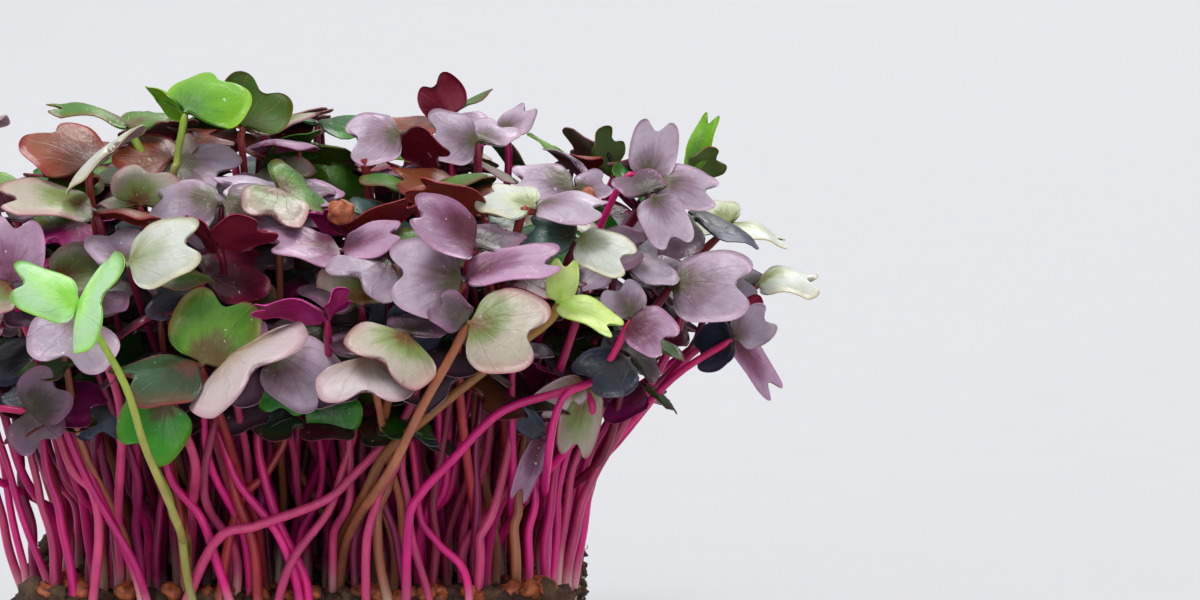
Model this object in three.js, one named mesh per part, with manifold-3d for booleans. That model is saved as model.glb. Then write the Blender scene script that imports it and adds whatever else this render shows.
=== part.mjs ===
// Radish microgreens growing on a block of compost in a shallow tray.
// Millimetres, +Z up. The origin is the middle of the tray's flat underside, and -Y is the front.
import * as THREE from 'three'
import { mergeVertices } from 'three/addons/utils/BufferGeometryUtils.js'
import Module from 'manifold-3d'

const wasm = await Module()
wasm.setup()

// Driving dimensions of the tray and the compost
const BLOCK_HALF = 43
const BLOCK_CORNER = 28
const SOIL_TOP = 28
const TRAY_HEIGHT = 13
const TRAY_WALL = 1.6
const TRAY_FLOOR = 2
const TRAY_LIP = 2.4
const TRAY_FLARE = 1.2
const GAP = 0.3
const CUT_GAP = 0.5
const OUTLINE_POINTS = 28
const LUMPS = 9

// Driving dimensions of the seedlings
const STEM_FOOT_RADIUS = 0.95
const STEM_TIP_RADIUS = 0.9
const STEM_SIDES = 4
const STEM_STEPS = 3
const BENT_STEM_STEPS = 5
const CROWN_RISE = 0.6
const LEAF_THICKNESS = 0.7
const STALK_HALF = 0.45
const STALK_SHARE = 0.06
const HIDDEN_BEHIND = 4
const KNOT_RADIUS = 3.6
const KNOT_DEPTH = 8
const KNOT_RISE = 0.5
const KNOT_SIDES = 4
const CLUMP_PITCH = 10.6
const CLUMP_INSET = 5.5
const CLUMP_PLACES = 2
const PLACE_OFFSET = 1.3
const LEAST_SEEDLINGS = 1

// A seedling is placed as it is seen from the front: so far across and so far up, on a plane that
// touches the front of the block, at its own depth. These say where that view is taken from.
const EYE_DISTANCE = 900
const EYE_TILT = THREE.MathUtils.degToRad(10)
const EYE_ACROSS = 46.5
const EYE_UP = 45
const EYE_TARGET = new THREE.Vector3(EYE_ACROSS, -BLOCK_HALF, SOIL_TOP + 49)

// How near two seedlings may come, how far one is moved to and fro along the view to be clear of
// the others, and how far the middle of its stem is swayed
const CLEARANCE = 2.1
const SLIDES = [0, 1.5, -1.5, 3, -3, 4.5, -4.5, 6, -6]
const SWAYS = [[0, 0], [3, 0], [-3, 0], [0, 3], [0, -3]]
const DRAWS = 40

const LEAF_COLOURS = {
  green: 0x5a8a3c, moss: 0x3c5138, pale: 0xc9c3bd, dusk: 0x5b4653, sage: 0xa4a893, ink: 0x2f3444,
  lilac: 0xb09aac, mint: 0xb9e2ac, white: 0xd8dcd4, deep: 0x1f5a26, rose: 0xb488a4, teal: 0x50696a,
  lime: 0x93c83c, olive: 0x6c5a35, maroon: 0x5c1a34, plum: 0x8f3067,
}

// Seeded random numbers between 0 and 1
function randomFrom(seed) {
  let state = seed >>> 0
  return () => {
    state = (state + 0x6D2B79F5) >>> 0
    let mixed = Math.imul(state ^ (state >>> 15), 1 | state)
    mixed = (mixed + Math.imul(mixed ^ (mixed >>> 7), 61 | mixed)) ^ mixed
    return ((mixed ^ (mixed >>> 14)) >>> 0) / 4294967296
  }
}

// The point that is seen at (across, up), at the given depth
function seen(across, up, depth) {
  const forward = new THREE.Vector3(0, Math.cos(EYE_TILT), -Math.sin(EYE_TILT))
  const upward = new THREE.Vector3(0, Math.sin(EYE_TILT), Math.cos(EYE_TILT))
  const eye = EYE_TARGET.clone().addScaledVector(forward, -EYE_DISTANCE)
  const ray = forward.clone().addScaledVector(upward, (up - EYE_UP) / EYE_DISTANCE)
  ray.x = (across - EYE_ACROSS) / EYE_DISTANCE
  return eye.addScaledVector(ray, (depth - eye.y) / ray.y)
}

// One leaf: where its notch is seen and how much nearer or further than the crown that is, which
// way its upper side faces, its width, its rise along the middle, its fold in degrees, its colour
function leaf(tip, face, width, arch, fold, tone) {
  return { tip, face, width, arch, fold, tone }
}

// One seedling: where its crown is seen, where on the compost it grows, its stem's colour, the
// points that its stem passes, and its two leaves
function sprout(name, crown, root, stem, bends, ...leaves) {
  return { name, crown, root, stem, bends, leaves }
}

// The seedlings that show from the front
const SHOWN = [
  sprout("green_heart", [-13.4, 35.1, -56], [-7, -30], "brick", [],
    leaf([-9.9, 44, 3], [0.15, -1, 0.35], 13.4, 0.04, -10, "green"),
    leaf([-23.4, 33.9, -5], [0, -0.5, 0.85], 11.5, 0.05, -22, "moss")),
  sprout("pale_band", [-9, 36.6, -59], [-4, -34], "rose", [],
    leaf([-5.6, 35, -9], [-0.4, -0.5, 0.77], 21, 0.08, -10, "pale"),
    leaf([-8, 41.5, 8], [0, -0.5, 0.8], 10, 0.05, 0, "dusk")),
  sprout("dusk_round", [-2.6, 37.4, -53], [0, -21], "rose", [],
    leaf([4.4, 32.1, -4], [0.1, -0.85, 0.5], 11.5, 0.08, -8, "lilac"),
    leaf([-5.7, 40.2, 8], [0, -0.5, 0.8], 9, 0.05, 0, "dusk")),
  sprout("pink_base", [11.6, 36.3, -57], [13, -36], "tan", [],
    leaf([11.3, 31.3, -7], [0, -0.75, 0.65], 15, 0.08, -12, "pale"),
    leaf([10.5, 40.2, 9], [0, -0.4, 0.9], 10, 0.05, 0, "dusk")),
  sprout("pale_green", [17.6, 39.6, -52], [13.2, -36], "tan", [],
    leaf([14, 36.2, -7], [0.31, -0.49, 0.81], 14.5, 0.08, -10, "sage"),
    leaf([20.5, 42, 8], [0, -0.4, 0.9], 9, 0.05, 0, "dusk")),
  sprout("ink_mid", [18.8, 45, -46], [21, -21], "plum", [],
    leaf([18.6, 38.6, -2], [0, -1, 0.1], 8.5, 0.03, 5, "ink"),
    leaf([22.5, 47, 6], [0, -0.4, 0.9], 8, 0.05, 0, "dusk")),
  sprout("veined_fan", [10.7, 44, -51], [10.6, -21], "plum", [],
    leaf([10.2, 49.6, 3], [0, -0.75, 0.65], 13, 0.06, -8, "sage"),
    leaf([4, 47.5, 4], [0, -0.5, 0.9], 8, 0.05, 0, "dusk")),
  sprout("magenta_curl", [5.6, 42, -51], [4.2, -25], "magenta", [],
    leaf([-3.6, 43.6, 0], [0, 0.6, 0.7], 5.5, 0.2, -20, "plum"),
    leaf([8.5, 45, 2], [0, 0.6, 0.7], 6, 0.1, 20, "plum")),
  sprout("moss_back", [-7.5, 43.5, -45], [-10.6, -21], "plum", [],
    leaf([-6, 47.5, 3], [0, -0.9, 0.4], 9.5, 0.05, -5, "moss"),
    leaf([-6, 48.3, 6], [0, -0.5, 0.9], 5, 0.05, 0, "moss")),
  sprout("lilac_heart", [-31, 42.5, -56], [-23.3, -34], "rose", [[-25.8, 30, -50]],
    leaf([-33.5, 36.6, -5], [0, -0.85, 0.5], 13.8, 0.08, -8, "lilac"),
    leaf([-28.5, 46, 8], [0, -0.5, 0.8], 10, 0.05, 0, "dusk")),
  sprout("mint", [-31.5, 44.3, -61], [-13.5, -42], "lime",
    [[-25, 32.5, -60], [-21, 21.5, -58], [-16.5, 10, -50]],
    leaf([-39.7, 47.6, -3], [0, -0.7, 0.7], 9, 0.05, -5, "mint"),
    leaf([-28.3, 45.2, -7], [-0.7, -0.55, 0.5], 16, 0.06, -8, "mint")),
  sprout("white_heart", [-24.3, 50.2, -50], [-20, -25], "plum", [],
    leaf([-15.8, 53.6, -4], [-0.1, -0.8, 0.6], 10.6, 0.07, -7, "white"),
    leaf([-27, 54.5, 7], [0, -0.5, 0.8], 9, 0.05, 0, "lilac")),
  sprout("left_lilac", [-42, 47.2, -52], [-34.5, -20], "magenta", [],
    leaf([-41.2, 55.7, 3], [0.1, -0.9, 0.4], 9.5, 0.05, -5, "rose"),
    leaf([-48.5, 45.6, -4], [0, -0.5, 0.8], 10, 0.08, -8, "sage")),
  sprout("left_pair", [-39.5, 28.3, -48], [-38, -10], "magenta", [[-44.5, 28, -45], [-45.5, 19.5, -35]],
    leaf([-35.2, 32, 0], [0, -1, 0.2], 9, 0.05, 5, "dusk"),
    leaf([-37.2, 24, -1], [0, -1, 0.3], 9, 0.05, -5, "dusk")),
  sprout("ink_left", [-28.8, 31, -46], [-27, -22], "plum", [],
    leaf([-28.2, 25.2, -2], [0, -1, 0.1], 9.5, 0.05, 0, "ink"),
    leaf([-32.2, 32.3, 3], [0, -0.5, 0.8], 8, 0.05, 0, "dusk")),
  sprout("green_low", [-17.9, 30.4, -61], [-7.5, -40], "rose", [[-14.2, 19.5, -56]],
    leaf([-22.2, 23.4, -1], [0, -1, 0.35], 11, 0.05, -10, "green"),
    leaf([-16, 33, 7], [0, -0.5, 0.8], 7, 0.05, 0, "moss")),
  sprout("deep_green_a", [6.8, 31, -50], [10.6, -22], "rose", [],
    leaf([6.5, 26.2, -1], [0, -1, 0.2], 8.6, 0.05, 0, "deep"),
    leaf([10, 33.6, 4], [0, -0.5, 0.8], 6, 0.05, 0, "deep")),
  sprout("deep_green_b", [-0.7, 33, -46.5], [5, -11], "rose", [],
    leaf([-1.2, 28.8, -1], [0, -1, 0.2], 8, 0.05, 0, "deep"),
    leaf([3.2, 35.2, 4], [0, -0.5, 0.8], 6, 0.05, 0, "deep")),
  sprout("olive_hood", [29.1, 58, -37], [27, -20], "brick", [[29.9, 50.7, -38]],
    leaf([20.6, 62.4, -2], [-0.2, 0.5, 0.85], 9, 0.1, -14, "olive"),
    leaf([33.8, 60.5, 5], [0, -0.3, 0.9], 9, 0.05, 0, "lilac")),
  sprout("rose_fold", [27.9, 52.7, -43], [21.5, -21], "maroon", [[26.3, 47.5, -41]],
    leaf([20, 57.6, -3], [-0.1, -0.6, 0.8], 10.5, 0.05, 12, "rose"),
    leaf([32.3, 55.2, 6], [0, -0.4, 0.9], 9, 0.05, 0, "dusk")),
  sprout("centre_pair", [26.1, 48, -48.5], [23, -34], "brick", [[24.8, 40.5, -44]],
    leaf([17, 49, -2], [0, -0.8, 0.55], 13, 0.06, -6, "lilac"),
    leaf([38.2, 50.4, -2], [0, -0.5, 0.9], 8.6, 0.08, 14, "rose")),
  sprout("big_sage", [26.7, 41.5, -54], [8.7, -34], "tan", [[21, 30.8, -52], [14, 18, -46]],
    leaf([35.6, 39.9, -4], [0.1, -0.9, 0.45], 13.6, 0.05, -6, "sage"),
    leaf([22.6, 44.2, 1], [0, -0.5, 0.8], 7.5, 0.05, 0, "dusk")),
  sprout("pale_drop", [44.6, 32.4, -36.5], [36, -24], "magenta", [[44.2, 26, -36.5]],
    leaf([42.9, 23.4, -2], [0, -0.9, -0.2], 6.4, 0.05, -8, "sage"),
    leaf([38.4, 29.4, -1], [0, -0.9, 0.3], 5.2, 0.05, 0, "pale")),
  sprout("mauve_drop", [38, 24.6, -42], [33, -34], "rose", [],
    leaf([34.8, 16.6, -2], [-0.3, -0.9, 0.1], 3.6, 0.04, 0, "rose"),
    leaf([32.6, 29.4, -1], [0, -0.9, 0.3], 3.8, 0.05, 0, "ink")),
  sprout("teal_pair", [43, 54, -44], [31.5, -30], "plum", [],
    leaf([36.8, 55.7, 2], [0, -0.8, 0.6], 6.6, 0.08, -6, "teal"),
    leaf([49.6, 51.3, -4], [0, -0.85, 0.5], 7.2, 0.08, -6, "white")),
  sprout("lilac_lip", [36.9, 58.7, -38], [31.5, -15], "brick", [[33.5, 53.7, -36]],
    leaf([45.4, 58.9, -3], [0, -0.4, 0.95], 8.5, 0.14, -12, "lilac"),
    leaf([30.5, 61, 3], [0, -0.5, 0.9], 8.5, 0.05, -5, "white")),
  sprout("lilac_dome", [42.9, 61.4, -30], [34.5, -10], "plum", [],
    leaf([35, 63.2, -1], [0, -0.55, 0.85], 10, 0.1, -10, "lilac"),
    leaf([46.8, 62.6, 3], [0, -0.9, 0.4], 5, 0.05, 0, "lilac")),
  sprout("lime_young", [40.2, 44.5, -53], [8, -37], "ochre",
    [[38.5, 41.5, -52.5], [30.2, 35.2, -50], [20, 27.2, -50], [14.8, 22.2, -49], [11.4, 16.4, -47]],
    leaf([41.3, 50, 1], [0.2, -0.95, 0.2], 4.8, 0.06, -8, "lime"),
    leaf([47.6, 41.2, -4], [0, -0.5, 0.85], 5.6, 0.05, 10, "lime")),
  sprout("rose_pair", [51.3, 42.4, -41], [38, -30], "magenta",
    [[46.5, 33.6, -42], [40.5, 30, -44], [38.8, 20, -42]],
    leaf([49.3, 46.4, 1], [0, -0.9, 0.4], 6.8, 0.06, -6, "lilac"),
    leaf([55.8, 39.2, -3], [0, -0.9, 0.4], 7.5, 0.06, -8, "rose")),
  sprout("right_heart", [57, 47, -26], [39, -10], "maroon", [[51, 38.3, -28]],
    leaf([66.8, 47.4, -4], [0.1, -0.85, 0.5], 12, 0.07, -6, "lilac"),
    leaf([54, 50.7, 6], [0, -0.4, 0.9], 9, 0.05, 0, "dusk")),
  sprout("violet_drop", [54.3, 60.8, -22], [22, 0], "maroon", [],
    leaf([57.3, 54.4, -3], [0.3, -0.9, 0.3], 7.8, 0.05, 8, "lilac"),
    leaf([51.3, 63.3, 5], [0, -0.4, 0.9], 8, 0.05, 0, "dusk")),
  sprout("upright_lilac", [53.7, 63, -16], [37.5, 0], "magenta", [[48, 59.3, -16]],
    leaf([55, 70.3, 2], [0.1, -0.9, 0.3], 7.6, 0.05, 14, "lilac"),
    leaf([62.3, 61.4, -1], [0.2, -0.8, 0.5], 7, 0.1, -6, "lilac")),
  sprout("teal_low", [51, 40.8, -35], [39.5, -18], "maroon", [],
    leaf([50.7, 35, -1], [0, -1, 0.1], 8.5, 0.05, 0, "teal"),
    leaf([54.8, 42.8, 4], [0, -0.4, 0.9], 8, 0.05, 0, "dusk")),
  sprout("right_low", [65.9, 40.5, -14], [40.5, 2], "magenta",
    [[58.5, 35.3, -16], [48.3, 22.5, -10]],
    leaf([71.8, 32.6, -2], [0.4, -0.9, 0.1], 4.6, 0.05, 8, "rose"),
    leaf([67.8, 45.2, 2], [0.3, 0.7, 0.3], 8, 0.05, 0, "maroon")),
  sprout("right_low_b", [66.8, 39.3, -20], [33, 0], "magenta", [[57, 33, -18], [46.5, 21, -14], [37, 10.5, -4]],
    leaf([71.2, 42, -2], [0.3, -0.9, 0.3], 6.4, 0.05, 0, "lilac"),
    leaf([61.6, 37.2, 4], [0, -0.9, 0.4], 7.5, 0.05, 0, "ink")),
  sprout("right_far", [70, 47, 2], [41, 12], "magenta", [[60, 37.5, 0]],
    leaf([77.6, 48, -1], [0.2, -0.3, 0.95], 9.5, 0.2, -8, "white"),
    leaf([66.8, 48.8, 6], [0, -0.4, 0.9], 8, 0.05, 0, "dusk")),
  sprout("right_far_b", [65.7, 55.8, 12], [39, 20], "brick", [],
    leaf([73, 54, 0], [0.1, -0.1, 1], 9, 0.14, -6, "white"),
    leaf([61.5, 58.5, 4], [0, -0.5, 0.8], 9.5, 0.08, 0, "white")),
  sprout("lime_trumpet", [-15.8, 72.9, -22], [-17, 0], "lime",
    [[-16.8, 66, -23], [-17.7, 59.3, -23]],
    leaf([-10.5, 77.8, 6], [0, -0.5, 0.85], 13.5, 0.08, -14, "lime"),
    leaf([-19.8, 75.4, 6], [0, 0.8, 0.5], 6, 0.05, 0, "lime")),
  sprout("green_wing", [-7.1, 71, -16], [-6, 5], "brick", [[-6.9, 63, -16]],
    leaf([-4.2, 76, 3], [0.25, 0.9, 0.35], 11.8, 0.06, -18, "green"),
    leaf([-9, 74, 7], [0, 0.7, 0.5], 7, 0.05, 0, "green")),
  sprout("green_arch", [-24, 70.5, -20], [-19, 3], "lime", [[-22, 66.3, -21], [-19.5, 60, -21]],
    leaf([-34.2, 73.5, -1], [0, -0.1, 1], 7, 0.16, -6, "green"),
    leaf([-20.5, 73, 7], [0, -0.2, 1], 7, 0.05, 0, "green")),
  sprout("olive_wing", [-30, 64.3, -36], [-28.5, -12], "brick", [[-29.4, 57.8, -36]],
    leaf([-35.5, 70, 4], [0.1, -0.3, 1], 14.5, 0.08, -6, "olive"),
    leaf([-27.1, 68.2, -8], [-0.42, -0.35, 1], 15.5, 0.06, -4, "white")),
  sprout("sage_wing", [-29, 58, -43], [-25.5, -24], "maroon", [[-27.8, 52.5, -43]],
    leaf([-41, 60, -3], [0, -0.4, 0.9], 10, 0.08, 8, "sage"),
    leaf([-21.5, 57.8, -2], [0, 0.3, 0.95], 8.5, 0.08, -12, "olive")),
  sprout("sage_dome", [-22.5, 59, -38], [-21, -15], "rose", [],
    leaf([-21, 64, 3], [0, -0.8, 0.6], 11, 0.05, -10, "sage"),
    leaf([-26, 60.5, 7], [0, -0.4, 0.9], 8, 0.05, 0, "sage")),
  sprout("lilac_shelf", [-8.6, 54.7, -37], [-11, -15], "maroon", [],
    leaf([-14.6, 59, 2], [0, -0.6, 0.8], 10.5, 0.05, -5, "lilac"),
    leaf([-3.6, 55.9, -2], [0, 0.55, 0.8], 8, 0.05, 14, "maroon")),
  sprout("maroon_funnel", [-10.7, 53, -42], [-11, -11], "maroon", [[-10.2, 46.5, -38]],
    leaf([-4.8, 55.7, -3], [0.1, 0.6, 0.8], 9, 0.04, 10, "maroon"),
    leaf([-14.7, 55.7, 2], [0, 0.6, 0.8], 8, 0.05, 5, "maroon")),
  sprout("rose_saucer", [7.8, 52.2, -42.5], [5.3, -11], "plum", [],
    leaf([-1.5, 53.5, -3], [0, -0.35, 0.95], 11, 0.02, 6, "rose"),
    leaf([15, 55, -1], [0, -0.35, 0.95], 10, 0.02, 6, "rose")),
  sprout("hull_cap", [8.6, 54.6, -37], [15, -11], "magenta", [],
    leaf([4.8, 58, -4], [0.2, 0.6, 0.6], 7, 0.2, -10, "plum"),
    leaf([17.5, 58.9, -3], [0, 0.5, 0.85], 7, 0.03, 6, "olive")),
  sprout("lilac_back", [0.3, 60.6, -24], [-1, -5], "plum", [],
    leaf([-8.7, 62.4, -4], [0, -0.35, 0.95], 10, 0.05, -6, "lilac"),
    leaf([3.8, 62.3, 6], [0, -0.4, 0.9], 9, 0.05, 0, "dusk")),
  sprout("dark_ring", [-4.2, 64.2, -12], [-3, 12], "tan", [],
    leaf([3, 68.7, 2], [-0.1, 0.5, 0.8], 12, 0.14, -10, "deep"),
    leaf([1.1, 63.3, -5], [0, -0.5, 0.85], 9, 0.1, 8, "sage")),
  sprout("bright_back", [1.2, 61.2, -6], [1.5, 8], "rose", [],
    leaf([9.3, 64.2, 2], [0, -0.7, 0.7], 12, 0.06, -6, "green"),
    leaf([-2, 60, -5], [0, -0.5, 0.8], 10, 0.05, 0, "moss")),
  sprout("arched_red", [16.8, 69.9, -8], [12, 8], "brick", [[12.3, 65.3, -10], [11.6, 61.5, -10]],
    leaf([10.2, 69.2, -2], [-0.3, -0.8, 0.6], 9.6, 0.05, -6, "lilac"),
    leaf([22.3, 67, 0], [0.3, 0.6, 0.6], 10, 0.08, -10, "maroon")),
  sprout("maroon_top", [24.3, 72.3, 10], [22.5, 16], "maroon", [],
    leaf([21.8, 77, 2], [0, 0.9, 0.4], 8, 0.05, 8, "maroon"),
    leaf([28.5, 70.5, -5], [0, -0.3, 0.9], 8, 0.05, 0, "lilac")),
  sprout("lilac_hull", [28.2, 68.7, 2], [26.5, 10], "rose", [],
    leaf([21.9, 70.2, -2], [0, -0.75, 0.65], 10, 0.06, -6, "lilac"),
    leaf([31.5, 70.8, 4], [0, -0.3, 0.9], 9, 0.05, 0, "lilac")),
  sprout("vee_back", [31.5, 69.6, 16], [30.5, 18], "magenta", [[32.5, 63.8, 16]],
    leaf([26.5, 67.3, -2], [0.3, 0.2, 0.9], 7, 0.05, 0, "plum"),
    leaf([35.3, 73.2, 2], [-0.5, -0.4, 0.6], 8, 0.05, 0, "lilac")),
  sprout("green_far", [46.2, 64.8, 14], [37, 24], "tan", [],
    leaf([41.7, 66.3, -2], [0, 0.4, 0.9], 9, 0.12, -6, "olive"),
    leaf([48.3, 69, 3], [0, 0.7, 0.6], 8, 0.05, 0, "green")),
  sprout("green_far_b", [60, 64.2, 26], [39, 30], "magenta", [],
    leaf([64, 66, 0], [0, 0.7, 0.5], 6.6, 0.08, 0, "green"),
    leaf([62.8, 71.4, 2], [-0.3, -0.6, 0.7], 4.2, 0.05, 0, "lime")),
]

// Seed hulls that still sit on a seedling: its name, where the hull is seen, and its radius
const HULLS = [
  ["hull_cap", [7.7, 58.2, -40.5], 2.1],
  ["lilac_hull", [26.6, 68.6, 1], 1.5],
  ["lilac_dome", [44.6, 60.2, -31], 1.6],
]

// Joining and cutting

function solidOf(geometry) {
  geometry.deleteAttribute('normal')
  geometry.deleteAttribute('uv')
  const merged = mergeVertices(geometry, 1e-4)
  const mesh = new wasm.Mesh({
    numProp: 3,
    vertProperties: new Float32Array(merged.attributes.position.array),
    triVerts: new Uint32Array(merged.index.array),
  })
  return new wasm.Manifold(mesh)
}

function geometryOf(solid) {
  const mesh = solid.getMesh()
  const geometry = new THREE.BufferGeometry()
  geometry.setAttribute('position', new THREE.BufferAttribute(new Float32Array(mesh.vertProperties), 3))
  geometry.setIndex(Array.from(mesh.triVerts))
  return geometry
}

function shapeOf(points, faces) {
  const geometry = new THREE.BufferGeometry()
  geometry.setAttribute('position', new THREE.Float32BufferAttribute(points.flatMap((p) => p.toArray()), 3))
  geometry.setIndex(faces.flat())
  return geometry
}

function largestPiece(solid) {
  const pieces = solid.decompose()
  pieces.sort((a, b) => b.volume() - a.volume())
  return pieces[0]
}

// A closed skin over rings that all have the same number of points. Each end is a fan, round its
// middle where it is rough and else from its first point.
function loft(rings, roughEnds = false) {
  const count = rings[0].length
  const points = rings.flat()
  const faces = []
  for (let ring = 0; ring + 1 < rings.length; ring++) {
    for (let i = 0; i < count; i++) {
      const here = ring * count + i
      const next = ring * count + (i + 1) % count
      faces.push([here, next, next + count], [here, next + count, here + count])
    }
  }
  const last = (rings.length - 1) * count
  if (!roughEnds) {
    for (let i = 1; i + 1 < count; i++) {
      faces.push([0, i + 1, i], [last, last + i, last + i + 1])
    }
    return shapeOf(points, faces)
  }
  const middle = (ring) => ring.reduce((sum, p) => sum.add(p), new THREE.Vector3()).divideScalar(count)
  points.push(middle(rings[0]), middle(rings[rings.length - 1]))
  for (let i = 0; i < count; i++) {
    const next = (i + 1) % count
    faces.push([points.length - 2, next, i])
    faces.push([points.length - 1, last + i, last + next])
  }
  return shapeOf(points, faces)
}

// Tray and compost

// A square with round corners, drawn in by inset, with its points evenly spaced along it
function roundedSquare(inset, z, count = OUTLINE_POINTS) {
  const corner = BLOCK_CORNER - inset
  const straight = BLOCK_HALF - BLOCK_CORNER
  const shape = new THREE.Shape()
  shape.moveTo(straight + corner, 0)
  shape.absarc(straight, straight, corner, 0, Math.PI / 2)
  shape.absarc(-straight, straight, corner, Math.PI / 2, Math.PI)
  shape.absarc(-straight, -straight, corner, Math.PI, Math.PI * 1.5)
  shape.absarc(straight, -straight, corner, Math.PI * 1.5, Math.PI * 2)
  shape.lineTo(straight + corner, 0)
  return shape.getSpacedPoints(count).slice(0, count).map((p) => new THREE.Vector3(p.x, p.y, z))
}

function makeTray() {
  const outside = -(GAP + TRAY_WALL)
  const inside = -GAP
  const lip = outside - TRAY_FLARE - TRAY_LIP
  return solidOf(loft([
    roundedSquare(outside + 2, 0),
    roundedSquare(outside, 1.2),
    roundedSquare(outside - TRAY_FLARE, TRAY_HEIGHT - 1.5),
    roundedSquare(lip, TRAY_HEIGHT - 1.5),
    roundedSquare(lip, TRAY_HEIGHT - 0.3),
    roundedSquare(lip + 0.8, TRAY_HEIGHT),
    roundedSquare(inside - TRAY_FLARE, TRAY_HEIGHT),
    roundedSquare(inside, TRAY_FLOOR + 1),
    roundedSquare(inside, TRAY_FLOOR),
  ]))
}

// Crumbs and seeds on the compost: small lumps along its upper edge, down its sides and on its top
function soilLumps(random) {
  const lumps = []
  const edge = roundedSquare(0, 0, 200)
  for (let i = 0; i < LUMPS; i++) {
    const size = 1.2 + 1.5 * random()
    const place = edge[Math.floor(random() * edge.length)]
    const height = TRAY_HEIGHT + 3 + (SOIL_TOP - TRAY_HEIGHT - 3.5) * random()
    const lump = new THREE.OctahedronGeometry(size)
    lump.rotateZ(Math.PI * random())
    lump.scale(1.1, 1.1, 0.8)
    lump.translate(place.x * 0.995, place.y * 0.995, height)
    lumps.push(solidOf(lump))
  }
  return lumps
}

function makeSoil(random, clumps) {
  const rise = () => 2 * random() - 1
  const rough = (ring, amount, lift) => ring.map((p) => {
    const out = 1 + amount * rise() / BLOCK_HALF
    return new THREE.Vector3(p.x * out, p.y * out, p.z + lift * rise())
  })
  const rings = [
    roundedSquare(0.3, TRAY_FLOOR + GAP),
    roundedSquare(0, TRAY_FLOOR + 2),
    roundedSquare(0, TRAY_HEIGHT - 1),
    rough(roundedSquare(-0.2, TRAY_HEIGHT + 3), 0.8, 0.6),
    rough(roundedSquare(0.3, SOIL_TOP - 2.5), 1.2, 0.6),
    rough(roundedSquare(2, SOIL_TOP - 0.3), 0.8, 0.5),
    rough(roundedSquare(11, SOIL_TOP - 0.2), 1.5, 0.4),
    rough(roundedSquare(21, SOIL_TOP - 0.2), 1.5, 0.4),
  ]
  let soil = solidOf(loft(rings, true))
  for (const lump of soilLumps(random)) {
    soil = soil.add(lump)
  }
  for (const clump of clumps) {
    soil = soil.subtract(solidOf(makeKnot(clump, GAP / Math.cos(Math.PI / KNOT_SIDES), GAP, 20)))
  }
  return largestPiece(soil)
}

// Clumps

// Where the clumps stand: staggered rows that keep clear of the block's edge
function clumpPlaces() {
  const places = []
  const reach = BLOCK_HALF - CLUMP_INSET
  const corner = BLOCK_CORNER - CLUMP_INSET
  const straight = BLOCK_HALF - BLOCK_CORNER
  const rows = Math.floor(reach / CLUMP_PITCH)
  for (let row = -rows; row <= rows; row++) {
    const shift = row % 2 === 0 ? 0 : CLUMP_PITCH / 2
    for (let column = -rows - 1; column <= rows + 1; column++) {
      const x = column * CLUMP_PITCH + shift
      const y = row * CLUMP_PITCH
      const beyondX = Math.max(Math.abs(x) - straight, 0)
      const beyondY = Math.max(Math.abs(y) - straight, 0)
      if (Math.hypot(beyondX, beyondY) <= corner) {
        places.push({ x, y, sprouts: [] })
      }
    }
  }
  return places
}

// The knot of roots and compost that holds a clump together, sunk in the block
function makeKnot(clump, wider = 0, deeper = 0, higher = KNOT_RISE) {
  const rings = [-KNOT_DEPTH - deeper, higher].map((z) => {
    const ring = []
    for (let side = 0; side < KNOT_SIDES; side++) {
      const angle = side * 2 * Math.PI / KNOT_SIDES
      const radius = KNOT_RADIUS + wider
      ring.push(new THREE.Vector3(
        clump.x + radius * Math.cos(angle), clump.y + radius * Math.sin(angle), SOIL_TOP + z))
    }
    return ring
  })
  return loft(rings)
}

// Where a seedling stands in its clump: beside the middle, in a direction of its own
function footOf(clump, place) {
  const angle = 2.4 * (clump.x + clump.y) + place * Math.PI
  return new THREE.Vector3(
    clump.x + PLACE_OFFSET * Math.cos(angle), clump.y + PLACE_OFFSET * Math.sin(angle), SOIL_TOP)
}

// Growing seedlings

// A leaf's own frame: along it, across it and out of its upper side
function grownLeaf(crown, tip, leaf) {
  const along = tip.clone().sub(crown)
  const length = along.length()
  along.divideScalar(length)
  const out = new THREE.Vector3(...leaf.face)
  out.addScaledVector(along, -out.dot(along)).normalize()
  const across = new THREE.Vector3().crossVectors(along, out)
  return { crown, along, across, out, length, width: leaf.width, arch: leaf.arch, fold: leaf.fold,
    tone: leaf.tone }
}

// The leaf's middle surface, at a distance across in millimetres and a share of its length
function leafPoint(grown, aside, share) {
  const crown = grown.crown
  const bent = Math.min(Math.max(share, 0), 1)
  const rise = grown.arch * grown.length * 4 * bent * (1 - bent)
  const lifted = rise + Math.abs(aside) * Math.tan(THREE.MathUtils.degToRad(grown.fold))
  return crown.clone()
    .addScaledVector(grown.along, grown.length * share)
    .addScaledVector(grown.across, aside)
    .addScaledVector(grown.out, lifted)
}

function grow(plan, clump, place, slide, sway) {
  const foot = footOf(clump, place)
  const crown = seen(plan.crown[0], plan.crown[1], plan.crown[2] + slide)
  const bends = plan.bends.map(([across, up, depth]) => seen(across, up, depth + slide)).reverse()
  const low = foot.clone()
  low.z += 9
  low.x += (crown.x - foot.x) * 0.06
  low.y += (crown.y - foot.y) * 0.06
  if (bends.length === 0) {
    const middle = foot.clone().lerp(crown, 0.55)
    middle.x -= (crown.x - foot.x) * 0.12 - sway[0]
    middle.y -= (crown.y - foot.y) * 0.18 - sway[1]
    bends.push(middle)
  }
  const route = [foot.clone().setZ(SOIL_TOP - 4), low, ...bends, crown]
  const leaves = plan.leaves.map((leaf) => {
    const tip = seen(leaf.tip[0], leaf.tip[1], plan.crown[2] + slide + leaf.tip[2])
    return { ...grownLeaf(crown, tip, leaf), detailed: leaf.tip[2] < HIDDEN_BEHIND }
  })
  return { name: plan.name, crown, route, leaves, stem: plan.stem }
}

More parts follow.
